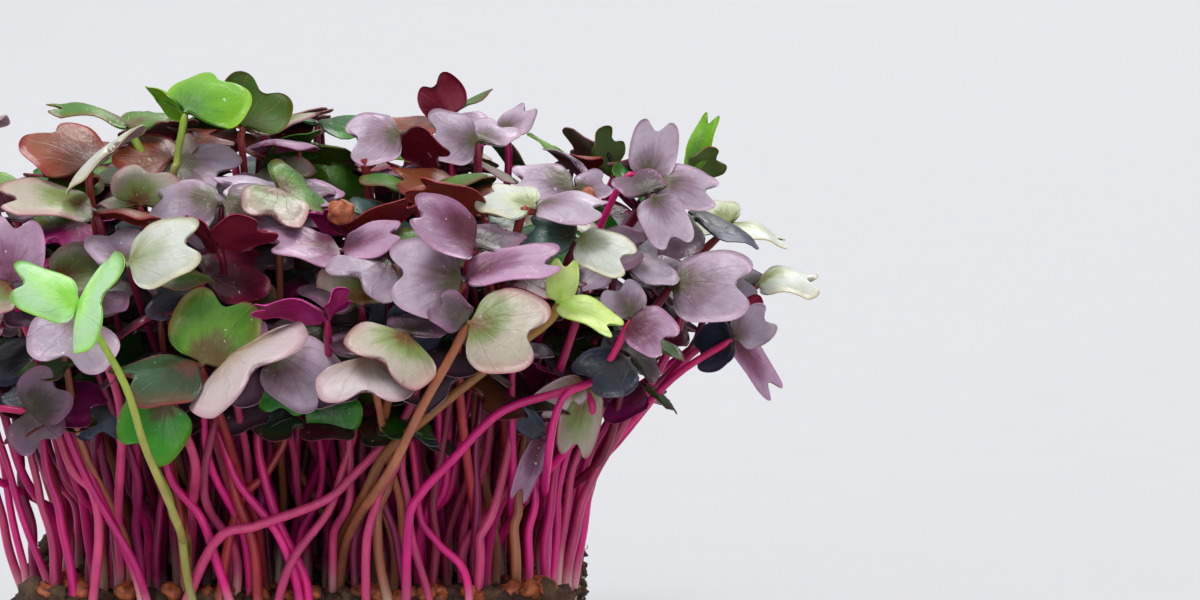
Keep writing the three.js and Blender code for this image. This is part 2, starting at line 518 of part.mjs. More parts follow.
// Points that stand for a seedling where its distance from others is tested
function probes(grown) {
  const curve = new THREE.CatmullRomCurve3(grown.route, false, 'catmullrom', 0.5)
  const points = []
  for (let step = 3; step <= 24; step++) {
    points.push(curve.getPoint(step / 24))
  }
  for (const leaf of grown.leaves) {
    for (const share of [0.45, 0.65, 0.85, 1.05]) {
      for (const side of [-0.85, -0.45, 0, 0.45, 0.85]) {
        points.push(leafPoint(leaf, side * leaf.width / 2, share))
      }
    }
  }
  return points
}

// How many probes of one seedling come too near those of the others
function crowding(points, others) {
  let count = 0
  for (const other of others) {
    for (const point of points) {
      if (other.points.some((p) => p.distanceToSquared(point) < CLEARANCE * CLEARANCE)) {
        count += 1
      }
    }
  }
  return count
}

// The first of several versions of a seedling that is clear of the others, or else the clearest
function clearest(versions, clump, others) {
  let best = null
  for (const version of versions) {
    const grown = version()
    const points = probes(grown)
    const count = crowding(points, others)
    if (best === null || count < best.count) {
      best = { grown, points, count }
    }
    if (count === 0) {
      break
    }
  }
  others.push(best)
  clump.sprouts.push(best.grown)
}

function nearestFree(clumps, root) {
  const free = clumps.filter((clump) => clump.sprouts.length < CLUMP_PLACES)
  const far = (clump) => Math.hypot(clump.x - root[0], clump.y - root[1])
  return free.reduce((best, clump) => (far(clump) < far(best) ? clump : best))
}

// A seedling of the parts that don't show from the front, drawn at random
function wildSprout(clump, place, random) {
  const foot = footOf(clump, place)
  const outX = foot.x / BLOCK_HALF
  const outY = foot.y / BLOCK_HALF
  const edge = Math.min(Math.hypot(outX, outY), 1.1)
  const spread = 1 + 0.55 * random()
  const tall = 68 - 10 * random() - 22 * edge * edge * random()
  const crown = new THREE.Vector3(
    foot.x * spread + 8 * (random() - 0.5), foot.y * spread + 8 * (random() - 0.5), SOIL_TOP + tall)
  const low = foot.clone()
  low.z += 10
  const middle = foot.clone().lerp(crown, 0.55)
  middle.x -= (crown.x - foot.x) * 0.2
  middle.y -= (crown.y - foot.y) * 0.2
  const turn = 2 * Math.PI * random()
  const tones = Object.keys(LEAF_COLOURS)
  const leaves = []
  for (const side of [0, 1]) {
    const angle = turn + side * (Math.PI - 0.5 + random())
    const length = 9 + 3 * random()
    const tip = crown.clone().add(new THREE.Vector3(
      length * Math.cos(angle), length * Math.sin(angle), length * (0.5 * random() - 0.1)))
    const face = [0.7 * outX + 0.4 * (random() - 0.5), 0.7 * outY + 0.4 * (random() - 0.5), 1]
    const width = 10.5 + 3.5 * random()
    const fold = 20 * random() - 14
    const tone = tones[Math.floor(random() * tones.length)]
    leaves.push(grownLeaf(crown, tip, { face, width, arch: 0.07, fold, tone }))
  }
  const route = [foot.clone().setZ(SOIL_TOP - 4), low, middle, crown]
  return { name: 'wild', crown, route, leaves, stem: 'magenta' }
}

function growAll(clumps, random) {
  const others = []
  for (const plan of SHOWN) {
    const clump = nearestFree(clumps, plan.root)
    const place = clump.sprouts.length
    const version = (slide, sway) => () => grow(plan, clump, place, slide, sway)
    clearest(SLIDES.flatMap((slide) => SWAYS.map((sway) => version(slide, sway))), clump, others)
  }
  for (const clump of clumps) {
    while (clump.sprouts.length < LEAST_SEEDLINGS) {
      const place = clump.sprouts.length
      const draws = Array.from({ length: DRAWS }, () => () => wildSprout(clump, place, random))
      clearest(draws, clump, others)
    }
  }
}

// Solids of the seedlings

function makeStem(grown, wider) {
  const curve = new THREE.CatmullRomCurve3(grown.route, false, 'catmullrom', 0.5)
  const steps = grown.route.length > 4 ? BENT_STEM_STEPS : STEM_STEPS
  const rings = []
  for (let step = 0; step <= steps; step++) {
    const share = step / steps
    const centre = curve.getPoint(share)
    const ahead = curve.getTangent(share)
    if (step === steps) {
      centre.addScaledVector(ahead, CROWN_RISE)
    }
    const side = new THREE.Vector3().crossVectors(ahead, new THREE.Vector3(0, 1, 0)).normalize()
    const front = new THREE.Vector3().crossVectors(ahead, side)
    const radius = THREE.MathUtils.lerp(STEM_FOOT_RADIUS, STEM_TIP_RADIUS, share) + wider
    const ring = []
    for (let i = 0; i < STEM_SIDES; i++) {
      const angle = i * 2 * Math.PI / STEM_SIDES
      ring.push(centre.clone()
        .addScaledVector(side, radius * Math.cos(angle)).addScaledVector(front, radius * Math.sin(angle)))
    }
    rings.push(ring)
  }
  return solidOf(loft(rings))
}

// Half of a leaf's edge from its stalk to beside the notch: share of the half width, share of the length
const SHOWN_EDGE = [[0.76, 0.16], [1, 0.64], [0.62, 1.19]]
const WILD_EDGE = [[0.95, 0.38], [0.7, 1.15]]
const LEAF_MIDDLE = 0.6

// A heart-shaped blade on its stalk, split into triangles alike on both faces
function makeLeaf(grown, wider) {
  const half = grown.width / 2 + wider
  const stalk = STALK_HALF + wider
  const edge = grown.detailed ? SHOWN_EDGE : WILD_EDGE
  const base = grown.detailed ? [[stalk, 0], [stalk, STALK_SHARE]] : [[stalk, 0]]
  const right = [...base, ...edge.map(([u, share]) => [u * half, share])]
  const outline = [...right, [0, 1], ...right.map(([u, share]) => [-u, share]).reverse()]
  const count = outline.length
  const longer = (share) => share + Math.sign(share - LEAF_MIDDLE / 2) * wider / grown.length
  const flat = [...outline.map(([u, share]) => [u, longer(share)]), [0, LEAF_MIDDLE]]
  const thick = LEAF_THICKNESS / 2 + wider
  const upper = flat.map(([u, share]) => leafPoint(grown, u, share).addScaledVector(grown.out, thick))
  const lower = flat.map(([u, share]) => leafPoint(grown, u, share).addScaledVector(grown.out, -thick))
  const faces = []
  const both = (a, b, c) => {
    faces.push([a, b, c])
    faces.push([a + flat.length, c + flat.length, b + flat.length])
  }
  const blade = base.length - 1
  if (blade > 0) {
    both(0, 1, count - 2)
    both(0, count - 2, count - 1)
  }
  const far = count - 1 - blade
  for (let i = blade; i < far; i++) {
    both(i, i + 1, count)
  }
  both(far, blade, count)
  for (let i = 0; i < count; i++) {
    const next = (i + 1) % count
    faces.push([i, i + flat.length, next + flat.length], [i, next + flat.length, next])
  }
  return solidOf(shapeOf([...upper, ...lower], faces))
}

function makeSprout(grown, wider = 0) {
  let solid = makeStem(grown, wider)
  for (const leaf of grown.leaves) {
    solid = solid.add(makeLeaf(leaf, wider))
  }
  for (const [name, place, radius] of HULLS) {
    if (name === grown.name) {
      const hull = new THREE.OctahedronGeometry(radius + wider, 1)
      hull.scale(1.1, 1, 0.85)
      hull.translate(...seen(...place).toArray())
      solid = solid.add(solidOf(hull))
    }
  }
  return solid
}

function makeClump(clump, wider = 0) {
  let solid = solidOf(makeKnot(clump, wider, wider))
  for (const grown of clump.sprouts) {
    solid = solid.add(makeSprout(grown, wider))
  }
  return largestPiece(solid)
}

// Where two clumps still cross, the later one is cut back from the earlier one
function cutClear(solids, clumps) {
  for (let late = 1; late < solids.length; late++) {
    for (let early = 0; early < late; early++) {
      const shared = solids[late].intersect(solids[early]).volume()
      if (shared > 0.0001) {
        const room = makeClump(clumps[early], CUT_GAP).add(solids[early])
        solids[late] = largestPiece(solids[late].subtract(room))
      }
    }
  }
}

// The whole tray

function named(solid, name, colour, roughness) {
  const material = new THREE.MeshStandardMaterial({ color: colour, roughness, metalness: 0 })
  const mesh = new THREE.Mesh(geometryOf(solid), material)
  mesh.name = name
  return mesh
}

const clumps = clumpPlaces()
growAll(clumps, randomFrom(20))
const solids = clumps.map((clump) => makeClump(clump))
cutClear(solids, clumps)

const object = new THREE.Group()
object.add(named(makeTray(), 'tray', 0x2b2d30, 0.5))
object.add(named(makeSoil(randomFrom(7), clumps), 'soil_block', 0x4a3728, 0.95))
solids.forEach((solid, index) => {
  const number = String(index + 1).padStart(2, '0')
  const tone = clumps[index].sprouts[0].leaves[0].tone
  object.add(named(solid, `sprouts_${number}`, LEAF_COLOURS[tone], 0.6))
})

export default object
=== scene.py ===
# Radish microgreens growing on a block of compost in a shallow tray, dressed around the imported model.
# Lengths are millimetres, +Z up, -Y the front, and are turned into metres when a mesh is made.
import math
import random as seeded

import bmesh
import bpy
import numpy as np
from mathutils import Matrix, Vector, noise


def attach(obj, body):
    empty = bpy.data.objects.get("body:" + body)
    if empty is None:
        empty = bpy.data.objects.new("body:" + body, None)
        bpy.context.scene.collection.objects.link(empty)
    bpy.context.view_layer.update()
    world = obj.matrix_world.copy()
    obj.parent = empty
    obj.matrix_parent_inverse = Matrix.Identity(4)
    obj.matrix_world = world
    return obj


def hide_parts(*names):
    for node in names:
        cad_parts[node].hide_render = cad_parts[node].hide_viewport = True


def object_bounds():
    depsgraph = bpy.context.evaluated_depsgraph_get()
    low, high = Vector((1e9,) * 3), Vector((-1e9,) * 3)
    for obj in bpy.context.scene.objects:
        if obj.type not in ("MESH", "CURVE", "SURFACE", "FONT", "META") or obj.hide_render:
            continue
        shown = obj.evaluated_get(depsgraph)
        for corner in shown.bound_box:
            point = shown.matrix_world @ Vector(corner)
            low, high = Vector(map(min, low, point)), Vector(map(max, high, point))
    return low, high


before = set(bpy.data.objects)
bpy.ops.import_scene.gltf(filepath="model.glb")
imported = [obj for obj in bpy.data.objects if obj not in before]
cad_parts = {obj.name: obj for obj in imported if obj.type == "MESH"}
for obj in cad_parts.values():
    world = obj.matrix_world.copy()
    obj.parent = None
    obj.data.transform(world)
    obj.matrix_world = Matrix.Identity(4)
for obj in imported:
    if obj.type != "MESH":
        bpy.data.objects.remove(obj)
cad_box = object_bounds()

MM = 0.001

# Driving dimensions of the tray and the compost, as in the part's source
BLOCK_HALF = 43
BLOCK_CORNER = 28
BLOCK_STRAIGHT = BLOCK_HALF - BLOCK_CORNER
SOIL_TOP = 28
TRAY_HEIGHT = 13
TRAY_WALL = 1.6
TRAY_FLOOR = 2
TRAY_LIP = 2.4
TRAY_FLARE = 1.2
GAP = 0.3

# Driving dimensions of the seedlings, as in the part's source
CLUMP_PITCH = 10.6
CLUMP_INSET = 5.5
CLUMP_PLACES = 2
PLACE_OFFSET = 1.3
LEAST_SEEDLINGS = 1
CLEARANCE = 2.1
SLIDES = [0, 1.5, -1.5, 3, -3, 4.5, -4.5, 6, -6]
SWAYS = [[0, 0], [3, 0], [-3, 0], [0, 3], [0, -3]]
DRAWS = 40
SEEDLING_SEED = 20

# The view from the front that the seedlings are placed by
EYE_DISTANCE = 900
EYE_TILT = math.radians(10)
EYE_ACROSS = 46.5
EYE_UP = 45
EYE_TARGET = Vector((EYE_ACROSS, -BLOCK_HALF, SOIL_TOP + 49))

TONES = ["green", "moss", "pale", "dusk", "sage", "ink", "lilac", "mint", "white", "deep", "rose",
         "teal", "lime", "olive", "maroon", "plum"]


# Seeded random numbers between 0 and 1, the same ones as in the part's source
def random_from(seed):
    state = seed & 0xFFFFFFFF

    def draw():
        nonlocal state
        state = (state + 0x6D2B79F5) & 0xFFFFFFFF
        mixed = ((state ^ (state >> 15)) * (1 | state)) & 0xFFFFFFFF
        mixed = ((mixed + ((mixed ^ (mixed >> 7)) * (61 | mixed) & 0xFFFFFFFF)) ^ mixed) & 0xFFFFFFFF
        return (mixed ^ (mixed >> 14)) / 4294967296

    return draw


# The point that is seen at (across, up), at the given depth
def seen(across, up, depth):
    forward = Vector3(0, math.cos(EYE_TILT), -math.sin(EYE_TILT))
    upward = Vector3(0, math.sin(EYE_TILT), math.cos(EYE_TILT))
    eye = Vector3(*EYE_TARGET) - forward * EYE_DISTANCE
    ray = forward + upward * ((up - EYE_UP) / EYE_DISTANCE)
    ray[0] = (across - EYE_ACROSS) / EYE_DISTANCE
    return eye + ray * ((depth - eye[1]) / ray[1])


def Vector3(x, y, z):
    return np.array([x, y, z], dtype=float)


# One leaf: where its notch is seen and how much nearer or further than the crown that is, which
# way its upper side faces, its width, its colour, its rise along the middle, its fold in degrees
def leaf(tip, face, width, tone="dusk", arch=0.05, fold=0):
    return dict(tip=tip, face=face, width=width, arch=arch, fold=fold, tone=tone)


# One seedling: where its crown is seen, where on the compost it grows, its stem's colour, the
# points that its stem passes, if any, and its two leaves
def sprout(name, crown, root, stem, *rest):
    return dict(name=name, crown=crown, root=root, stem=stem, bends=rest[:-2], leaves=rest[-2:])


# Which way two common kinds of leaf face: up and to the front, and nearly straight up
TILTED = [0, -0.5, 0.8]
LEVEL = [0, -0.4, 0.9]


# The seedlings that show from the front, as in the part's source
SHOWN = [
    sprout("green_heart", [-13.4, 35.1, -56], [-7, -30], "brick",
           leaf([-9.9, 44, 3], [0.15, -1, 0.35], 13.4, "green", 0.04, -10),
           leaf([-23.4, 33.9, -5], [0, -0.5, 0.85], 11.5, "moss", 0.05, -22)),
    sprout("pale_band", [-9, 36.6, -59], [-4, -34], "rose",
           leaf([-5.6, 35, -9], [-0.4, -0.5, 0.77], 21, "pale", 0.08, -10), leaf([-8, 41.5, 8], TILTED, 10)),
    sprout("dusk_round", [-2.6, 37.4, -53], [0, -21], "rose",
           leaf([4.4, 32.1, -4], [0.1, -0.85, 0.5], 11.5, "lilac", 0.08, -8),
           leaf([-5.7, 40.2, 8], TILTED, 9)),
    sprout("pink_base", [11.6, 36.3, -57], [13, -36], "tan",
           leaf([11.3, 31.3, -7], [0, -0.75, 0.65], 15, "pale", 0.08, -12),
           leaf([10.5, 40.2, 9], LEVEL, 10)),
    sprout("pale_green", [17.6, 39.6, -52], [13.2, -36], "tan",
           leaf([14, 36.2, -7], [0.31, -0.49, 0.81], 14.5, "sage", 0.08, -10),
           leaf([20.5, 42, 8], LEVEL, 9)),
    sprout("ink_mid", [18.8, 45, -46], [21, -21], "plum",
           leaf([18.6, 38.6, -2], [0, -1, 0.1], 8.5, "ink", 0.03, 5), leaf([22.5, 47, 6], LEVEL, 8)),
    sprout("veined_fan", [10.7, 44, -51], [10.6, -21], "plum",
           leaf([10.2, 49.6, 3], [0, -0.75, 0.65], 13, "sage", 0.06, -8),
           leaf([4, 47.5, 4], [0, -0.5, 0.9], 8)),
    sprout("magenta_curl", [5.6, 42, -51], [4.2, -25], "magenta",
           leaf([-3.6, 43.6, 0], [0, 0.6, 0.7], 5.5, "plum", 0.2, -20),
           leaf([8.5, 45, 2], [0, 0.6, 0.7], 6, "plum", 0.1, 20)),
    sprout("moss_back", [-7.5, 43.5, -45], [-10.6, -21], "plum",
           leaf([-6, 47.5, 3], [0, -0.9, 0.4], 9.5, "moss", 0.05, -5),
           leaf([-6, 48.3, 6], [0, -0.5, 0.9], 5, "moss")),
    sprout("lilac_heart", [-31, 42.5, -56], [-23.3, -34], "rose", [-25.8, 30, -50],
           leaf([-33.5, 36.6, -5], [0, -0.85, 0.5], 13.8, "lilac", 0.08, -8),
           leaf([-28.5, 46, 8], TILTED, 10)),
    sprout("mint", [-31.5, 44.3, -61], [-13.5, -42], "lime", [-25, 32.5, -60], [-21, 21.5, -58],
           [-16.5, 10, -50],
           leaf([-39.7, 47.6, -3], [0, -0.7, 0.7], 9, "mint", 0.05, -5),
           leaf([-28.3, 45.2, -7], [-0.7, -0.55, 0.5], 16, "mint", 0.06, -8)),
    sprout("white_heart", [-24.3, 50.2, -50], [-20, -25], "plum",
           leaf([-15.8, 53.6, -4], [-0.1, -0.8, 0.6], 10.6, "white", 0.07, -7),
           leaf([-27, 54.5, 7], TILTED, 9, "lilac")),
    sprout("left_lilac", [-42, 47.2, -52], [-34.5, -20], "magenta",
           leaf([-41.2, 55.7, 3], [0.1, -0.9, 0.4], 9.5, "rose", 0.05, -5),
           leaf([-48.5, 45.6, -4], TILTED, 10, "sage", 0.08, -8)),
    sprout("left_pair", [-39.5, 28.3, -48], [-38, -10], "magenta", [-44.5, 28, -45], [-45.5, 19.5, -35],
           leaf([-35.2, 32, 0], [0, -1, 0.2], 9, "dusk", 0.05, 5),
           leaf([-37.2, 24, -1], [0, -1, 0.3], 9, "dusk", 0.05, -5)),
    sprout("ink_left", [-28.8, 31, -46], [-27, -22], "plum",
           leaf([-28.2, 25.2, -2], [0, -1, 0.1], 9.5, "ink"), leaf([-32.2, 32.3, 3], TILTED, 8)),
    sprout("green_low", [-17.9, 30.4, -61], [-7.5, -40], "rose", [-14.2, 19.5, -56],
           leaf([-22.2, 23.4, -1], [0, -1, 0.35], 11, "vivid", 0.05, -10),
           leaf([-16, 33, 7], TILTED, 7, "vivid")),
    sprout("deep_green_a", [6.8, 31, -50], [10.6, -22], "rose",
           leaf([6.5, 26.2, -1], [0, -1, 0.2], 8.6, "deep"), leaf([10, 33.6, 4], TILTED, 6, "deep")),
    sprout("deep_green_b", [-0.7, 33, -46.5], [5, -11], "rose",
           leaf([-1.2, 28.8, -1], [0, -1, 0.2], 8, "deep"), leaf([3.2, 35.2, 4], TILTED, 6, "deep")),
    sprout("olive_hood", [29.1, 58, -37], [27, -20], "brick", [29.9, 50.7, -38],
           leaf([20.6, 62.4, -2], [-0.2, 0.5, 0.85], 9, "olive", 0.1, -14),
           leaf([33.8, 60.5, 5], [0, -0.3, 0.9], 9, "lilac")),
    sprout("rose_fold", [27.9, 52.7, -43], [21.5, -21], "maroon", [26.3, 47.5, -41],
           leaf([20, 57.6, -3], [-0.1, -0.6, 0.8], 10.5, "rose", 0.05, 12), leaf([32.3, 55.2, 6], LEVEL, 9)),
    sprout("centre_pair", [26.1, 48, -48.5], [23, -34], "brick", [24.8, 40.5, -44],
           leaf([17, 49, -2], [0, -0.8, 0.55], 13, "lilac", 0.06, -6),
           leaf([38.2, 50.4, -2], [0, -0.5, 0.9], 8.6, "rose", 0.08, 14)),
    sprout("big_sage", [26.7, 41.5, -54], [8.7, -34], "tan", [21, 30.8, -52], [14, 18, -46],
           leaf([35.6, 39.9, -4], [0.1, -0.9, 0.45], 13.6, "sage", 0.05, -6),
           leaf([22.6, 44.2, 1], TILTED, 7.5)),
    sprout("pale_drop", [44.6, 32.4, -36.5], [36, -24], "magenta", [44.2, 26, -36.5],
           leaf([42.9, 23.4, -2], [0, -0.9, -0.2], 6.4, "sage", 0.05, -8),
           leaf([38.4, 29.4, -1], [0, -0.9, 0.3], 5.2, "pale")),
    sprout("mauve_drop", [38, 24.6, -42], [33, -34], "rose",
           leaf([34.8, 16.6, -2], [-0.3, -0.9, 0.1], 3.6, "rose", 0.04),
           leaf([32.6, 29.4, -1], [0, -0.9, 0.3], 3.8, "ink")),
    sprout("teal_pair", [43, 54, -44], [31.5, -30], "plum",
           leaf([36.8, 55.7, 2], [0, -0.8, 0.6], 6.6, "teal", 0.08, -6),
           leaf([49.6, 51.3, -4], [0, -0.85, 0.5], 7.2, "white", 0.08, -6)),
    sprout("lilac_lip", [36.9, 58.7, -38], [31.5, -15], "brick", [33.5, 53.7, -36],
           leaf([45.4, 58.9, -3], [0, -0.4, 0.95], 8.5, "lilac", 0.14, -12),
           leaf([30.5, 61, 3], [0, -0.5, 0.9], 8.5, "white", 0.05, -5)),
    sprout("lilac_dome", [42.9, 61.4, -30], [34.5, -10], "plum",
           leaf([35, 63.2, -1], [0, -0.55, 0.85], 10, "lilac", 0.1, -10),
           leaf([46.8, 62.6, 3], [0, -0.9, 0.4], 5, "lilac")),
    sprout("lime_young", [40.2, 44.5, -53], [8, -37], "ochre", [38.5, 41.5, -52.5], [30.2, 35.2, -50],
           [20, 27.2, -50], [14.8, 22.2, -49], [11.4, 16.4, -47],
           leaf([41.3, 50, 1], [0.2, -0.95, 0.2], 4.8, "lemon", 0.06, -8),
           leaf([47.6, 41.2, -4], [0, -0.5, 0.85], 5.6, "lemon", 0.05, 10)),
    sprout("rose_pair", [51.3, 42.4, -41], [38, -30], "magenta", [46.5, 33.6, -42], [40.5, 30, -44],
           [38.8, 20, -42],
           leaf([49.3, 46.4, 1], [0, -0.9, 0.4], 6.8, "lilac", 0.06, -6),
           leaf([55.8, 39.2, -3], [0, -0.9, 0.4], 7.5, "rose", 0.06, -8)),
    sprout("right_heart", [57, 47, -26], [39, -10], "maroon", [51, 38.3, -28],
           leaf([66.8, 47.4, -4], [0.1, -0.85, 0.5], 12, "lilac", 0.07, -6), leaf([54, 50.7, 6], LEVEL, 9)),
    sprout("violet_drop", [54.3, 60.8, -22], [22, 0], "maroon",
           leaf([57.3, 54.4, -3], [0.3, -0.9, 0.3], 7.8, "lilac", 0.05, 8), leaf([51.3, 63.3, 5], LEVEL, 8)),
    sprout("upright_lilac", [53.7, 63, -16], [37.5, 0], "magenta", [48, 59.3, -16],
           leaf([55, 70.3, 2], [0.1, -0.9, 0.3], 7.6, "lilac", 0.05, 14),
           leaf([62.3, 61.4, -1], [0.2, -0.8, 0.5], 7, "lilac", 0.1, -6)),
    sprout("teal_low", [51, 40.8, -35], [39.5, -18], "maroon",
           leaf([50.7, 35, -1], [0, -1, 0.1], 8.5, "teal"), leaf([54.8, 42.8, 4], LEVEL, 8)),
    sprout("right_low", [65.9, 40.5, -14], [40.5, 2], "magenta", [58.5, 35.3, -16], [48.3, 22.5, -10],
           leaf([71.8, 32.6, -2], [0.4, -0.9, 0.1], 4.6, "rose", 0.05, 8),
           leaf([67.8, 45.2, 2], [0.3, 0.7, 0.3], 8, "maroon")),
    sprout("right_low_b", [66.8, 39.3, -20], [33, 0], "magenta", [57, 33, -18], [46.5, 21, -14],
           [37, 10.5, -4],
           leaf([71.2, 42, -2], [0.3, -0.9, 0.3], 6.4, "lilac"),
           leaf([61.6, 37.2, 4], [0, -0.9, 0.4], 7.5, "ink")),
    sprout("right_far", [70, 47, 2], [41, 12], "magenta", [60, 37.5, 0],
           leaf([77.6, 48, -1], [0.2, -0.3, 0.95], 9.5, "white", 0.2, -8), leaf([66.8, 48.8, 6], LEVEL, 8)),
    sprout("right_far_b", [65.7, 55.8, 12], [39, 20], "brick",
           leaf([73, 54, 0], [0.1, -0.1, 1], 9, "white", 0.14, -6),
           leaf([61.5, 58.5, 4], TILTED, 9.5, "white", 0.08)),
    sprout("lime_trumpet", [-15.8, 72.9, -22], [-17, 0], "lime", [-16.8, 66, -23], [-17.7, 59.3, -23],
           leaf([-10.5, 77.8, 6], [0, -0.5, 0.85], 13.5, "lime", 0.08, -14),
           leaf([-19.8, 75.4, 6], [0, 0.8, 0.5], 6, "lime")),
    sprout("green_wing", [-7.1, 71, -16], [-6, 5], "brick", [-6.9, 63, -16],
           leaf([-4.2, 76, 3], [0.25, 0.9, 0.35], 11.8, "green", 0.06, -18),
           leaf([-9, 74, 7], [0, 0.7, 0.5], 7, "green")),
    sprout("green_arch", [-24, 70.5, -20], [-19, 3], "lime", [-22, 66.3, -21], [-19.5, 60, -21],
           leaf([-34.2, 73.5, -1], [0, -0.1, 1], 7, "green", 0.16, -6),
           leaf([-20.5, 73, 7], [0, -0.2, 1], 7, "green")),
    sprout("olive_wing", [-30, 64.3, -36], [-28.5, -12], "brick", [-29.4, 57.8, -36],
           leaf([-35.5, 70, 4], [0.1, -0.3, 1], 14.5, "olive", 0.08, -6),
           leaf([-27.1, 68.2, -8], [-0.42, -0.35, 1], 15.5, "white", 0.06, -4)),
    sprout("sage_wing", [-29, 58, -43], [-25.5, -24], "maroon", [-27.8, 52.5, -43],
           leaf([-41, 60, -3], LEVEL, 10, "sage", 0.08, 8),
           leaf([-21.5, 57.8, -2], [0, 0.3, 0.95], 8.5, "olive", 0.08, -12)),
    sprout("sage_dome", [-22.5, 59, -38], [-21, -15], "rose",
           leaf([-21, 64, 3], [0, -0.8, 0.6], 11, "sage", 0.05, -10),
           leaf([-26, 60.5, 7], LEVEL, 8, "sage")),
    sprout("lilac_shelf", [-8.6, 54.7, -37], [-11, -15], "maroon",
           leaf([-14.6, 59, 2], [0, -0.6, 0.8], 10.5, "lilac", 0.05, -5),
           leaf([-3.6, 55.9, -2], [0, 0.55, 0.8], 8, "maroon", 0.05, 14)),
    sprout("maroon_funnel", [-10.7, 53, -42], [-11, -11], "maroon", [-10.2, 46.5, -38],
           leaf([-4.8, 55.7, -3], [0.1, 0.6, 0.8], 9, "maroon", 0.04, 10),
           leaf([-14.7, 55.7, 2], [0, 0.6, 0.8], 8, "maroon", 0.05, 5)),
    sprout("rose_saucer", [7.8, 52.2, -42.5], [5.3, -11], "plum",
           leaf([-1.5, 53.5, -3], [0, -0.35, 0.95], 11, "rose", 0.02, 6),
           leaf([15, 55, -1], [0, -0.35, 0.95], 10, "rose", 0.02, 6)),
    sprout("hull_cap", [8.6, 54.6, -37], [15, -11], "magenta",
           leaf([4.8, 58, -4], [0.2, 0.6, 0.6], 7, "plum", 0.2, -10),
           leaf([17.5, 58.9, -3], [0, 0.5, 0.85], 7, "olive", 0.03, 6)),
    sprout("lilac_back", [0.3, 60.6, -24], [-1, -5], "plum",
           leaf([-8.7, 62.4, -4], [0, -0.35, 0.95], 10, "lilac", 0.05, -6), leaf([3.8, 62.3, 6], LEVEL, 9)),
    sprout("dark_ring", [-4.2, 64.2, -12], [-3, 12], "tan",
           leaf([3, 68.7, 2], [-0.1, 0.5, 0.8], 12, "deep", 0.14, -10),
           leaf([1.1, 63.3, -5], [0, -0.5, 0.85], 9, "sage", 0.1, 8)),
    sprout("bright_back", [1.2, 61.2, -6], [1.5, 8], "rose",
           leaf([9.3, 64.2, 2], [0, -0.7, 0.7], 12, "green", 0.06, -6),
           leaf([-2, 60, -5], TILTED, 10, "moss")),
    sprout("arched_red", [16.8, 69.9, -8], [12, 8], "brick", [12.3, 65.3, -10], [11.6, 61.5, -10],
           leaf([10.2, 69.2, -2], [-0.3, -0.8, 0.6], 9.6, "lilac", 0.05, -6),
           leaf([22.3, 67, 0], [0.3, 0.6, 0.6], 10, "maroon", 0.08, -10)),
    sprout("maroon_top", [24.3, 72.3, 10], [22.5, 16], "maroon",
           leaf([21.8, 77, 2], [0, 0.9, 0.4], 8, "maroon", 0.05, 8),
           leaf([28.5, 70.5, -5], [0, -0.3, 0.9], 8, "lilac")),
    sprout("lilac_hull", [28.2, 68.7, 2], [26.5, 10], "rose",
           leaf([21.9, 70.2, -2], [0, -0.75, 0.65], 10, "lilac", 0.06, -6),
           leaf([31.5, 70.8, 4], [0, -0.3, 0.9], 9, "lilac")),
    sprout("vee_back", [31.5, 69.6, 16], [30.5, 18], "magenta", [32.5, 63.8, 16],
           leaf([26.5, 67.3, -2], [0.3, 0.2, 0.9], 7, "plum"),
           leaf([35.3, 73.2, 2], [-0.5, -0.4, 0.6], 8, "lilac")),
    sprout("green_far", [46.2, 64.8, 14], [37, 24], "tan",
           leaf([41.7, 66.3, -2], [0, 0.4, 0.9], 9, "olive", 0.12, -6),
           leaf([48.3, 69, 3], [0, 0.7, 0.6], 8, "green")),
    sprout("green_far_b", [60, 64.2, 26], [39, 30], "magenta",
           leaf([64, 66, 0], [0, 0.7, 0.5], 6.6, "green", 0.08),
           leaf([62.8, 71.4, 2], [-0.3, -0.6, 0.7], 4.2, "lime")),
]

# Seed hulls that still sit on a seedling: its name, where the hull is seen, and its radius
HULLS = [
    ["hull_cap", [7.7, 58.2, -40.5], 2.1],
    ["lilac_hull", [26.6, 68.6, 1], 1.5],
    ["lilac_dome", [44.6, 60.2, -31], 1.6],
]


# Growing the seedlings as the part's source does

def inside_block(x, y, margin):
    beyond = math.hypot(max(abs(x) - BLOCK_STRAIGHT, 0), max(abs(y) - BLOCK_STRAIGHT, 0))
    return beyond <= BLOCK_CORNER - margin


# Where the clumps stand: staggered rows that keep clear of the block's edge
def clump_places():
    places = []
    rows = math.floor((BLOCK_HALF - CLUMP_INSET) / CLUMP_PITCH)
    for row in range(-rows, rows + 1):
        shift = 0 if row % 2 == 0 else CLUMP_PITCH / 2
        for column in range(-rows - 1, rows + 2):
            x = column * CLUMP_PITCH + shift
            y = row * CLUMP_PITCH
            if inside_block(x, y, CLUMP_INSET):
                places.append(dict(x=x, y=y, sprouts=[]))
    return places


# Where a seedling stands in its clump: beside the middle, in a direction of its own
def foot_of(clump, place):
    angle = 2.4 * (clump["x"] + clump["y"]) + place * math.pi
    return Vector3(clump["x"] + PLACE_OFFSET * math.cos(angle),
                   clump["y"] + PLACE_OFFSET * math.sin(angle), SOIL_TOP)


# A leaf's own frame: along it, across it and out of its upper side
def grown_leaf(crown, tip, plan):
    along = tip - crown
    length = float(np.linalg.norm(along))
    along = along / length
    out = np.array(plan["face"], dtype=float)
    out = out - along * float(out @ along)
    out = out / np.linalg.norm(out)
    across = np.cross(along, out)
    return dict(crown=crown, along=along, across=across, out=out, length=length,
                width=plan["width"], arch=plan["arch"], fold=plan["fold"], tone=plan["tone"])


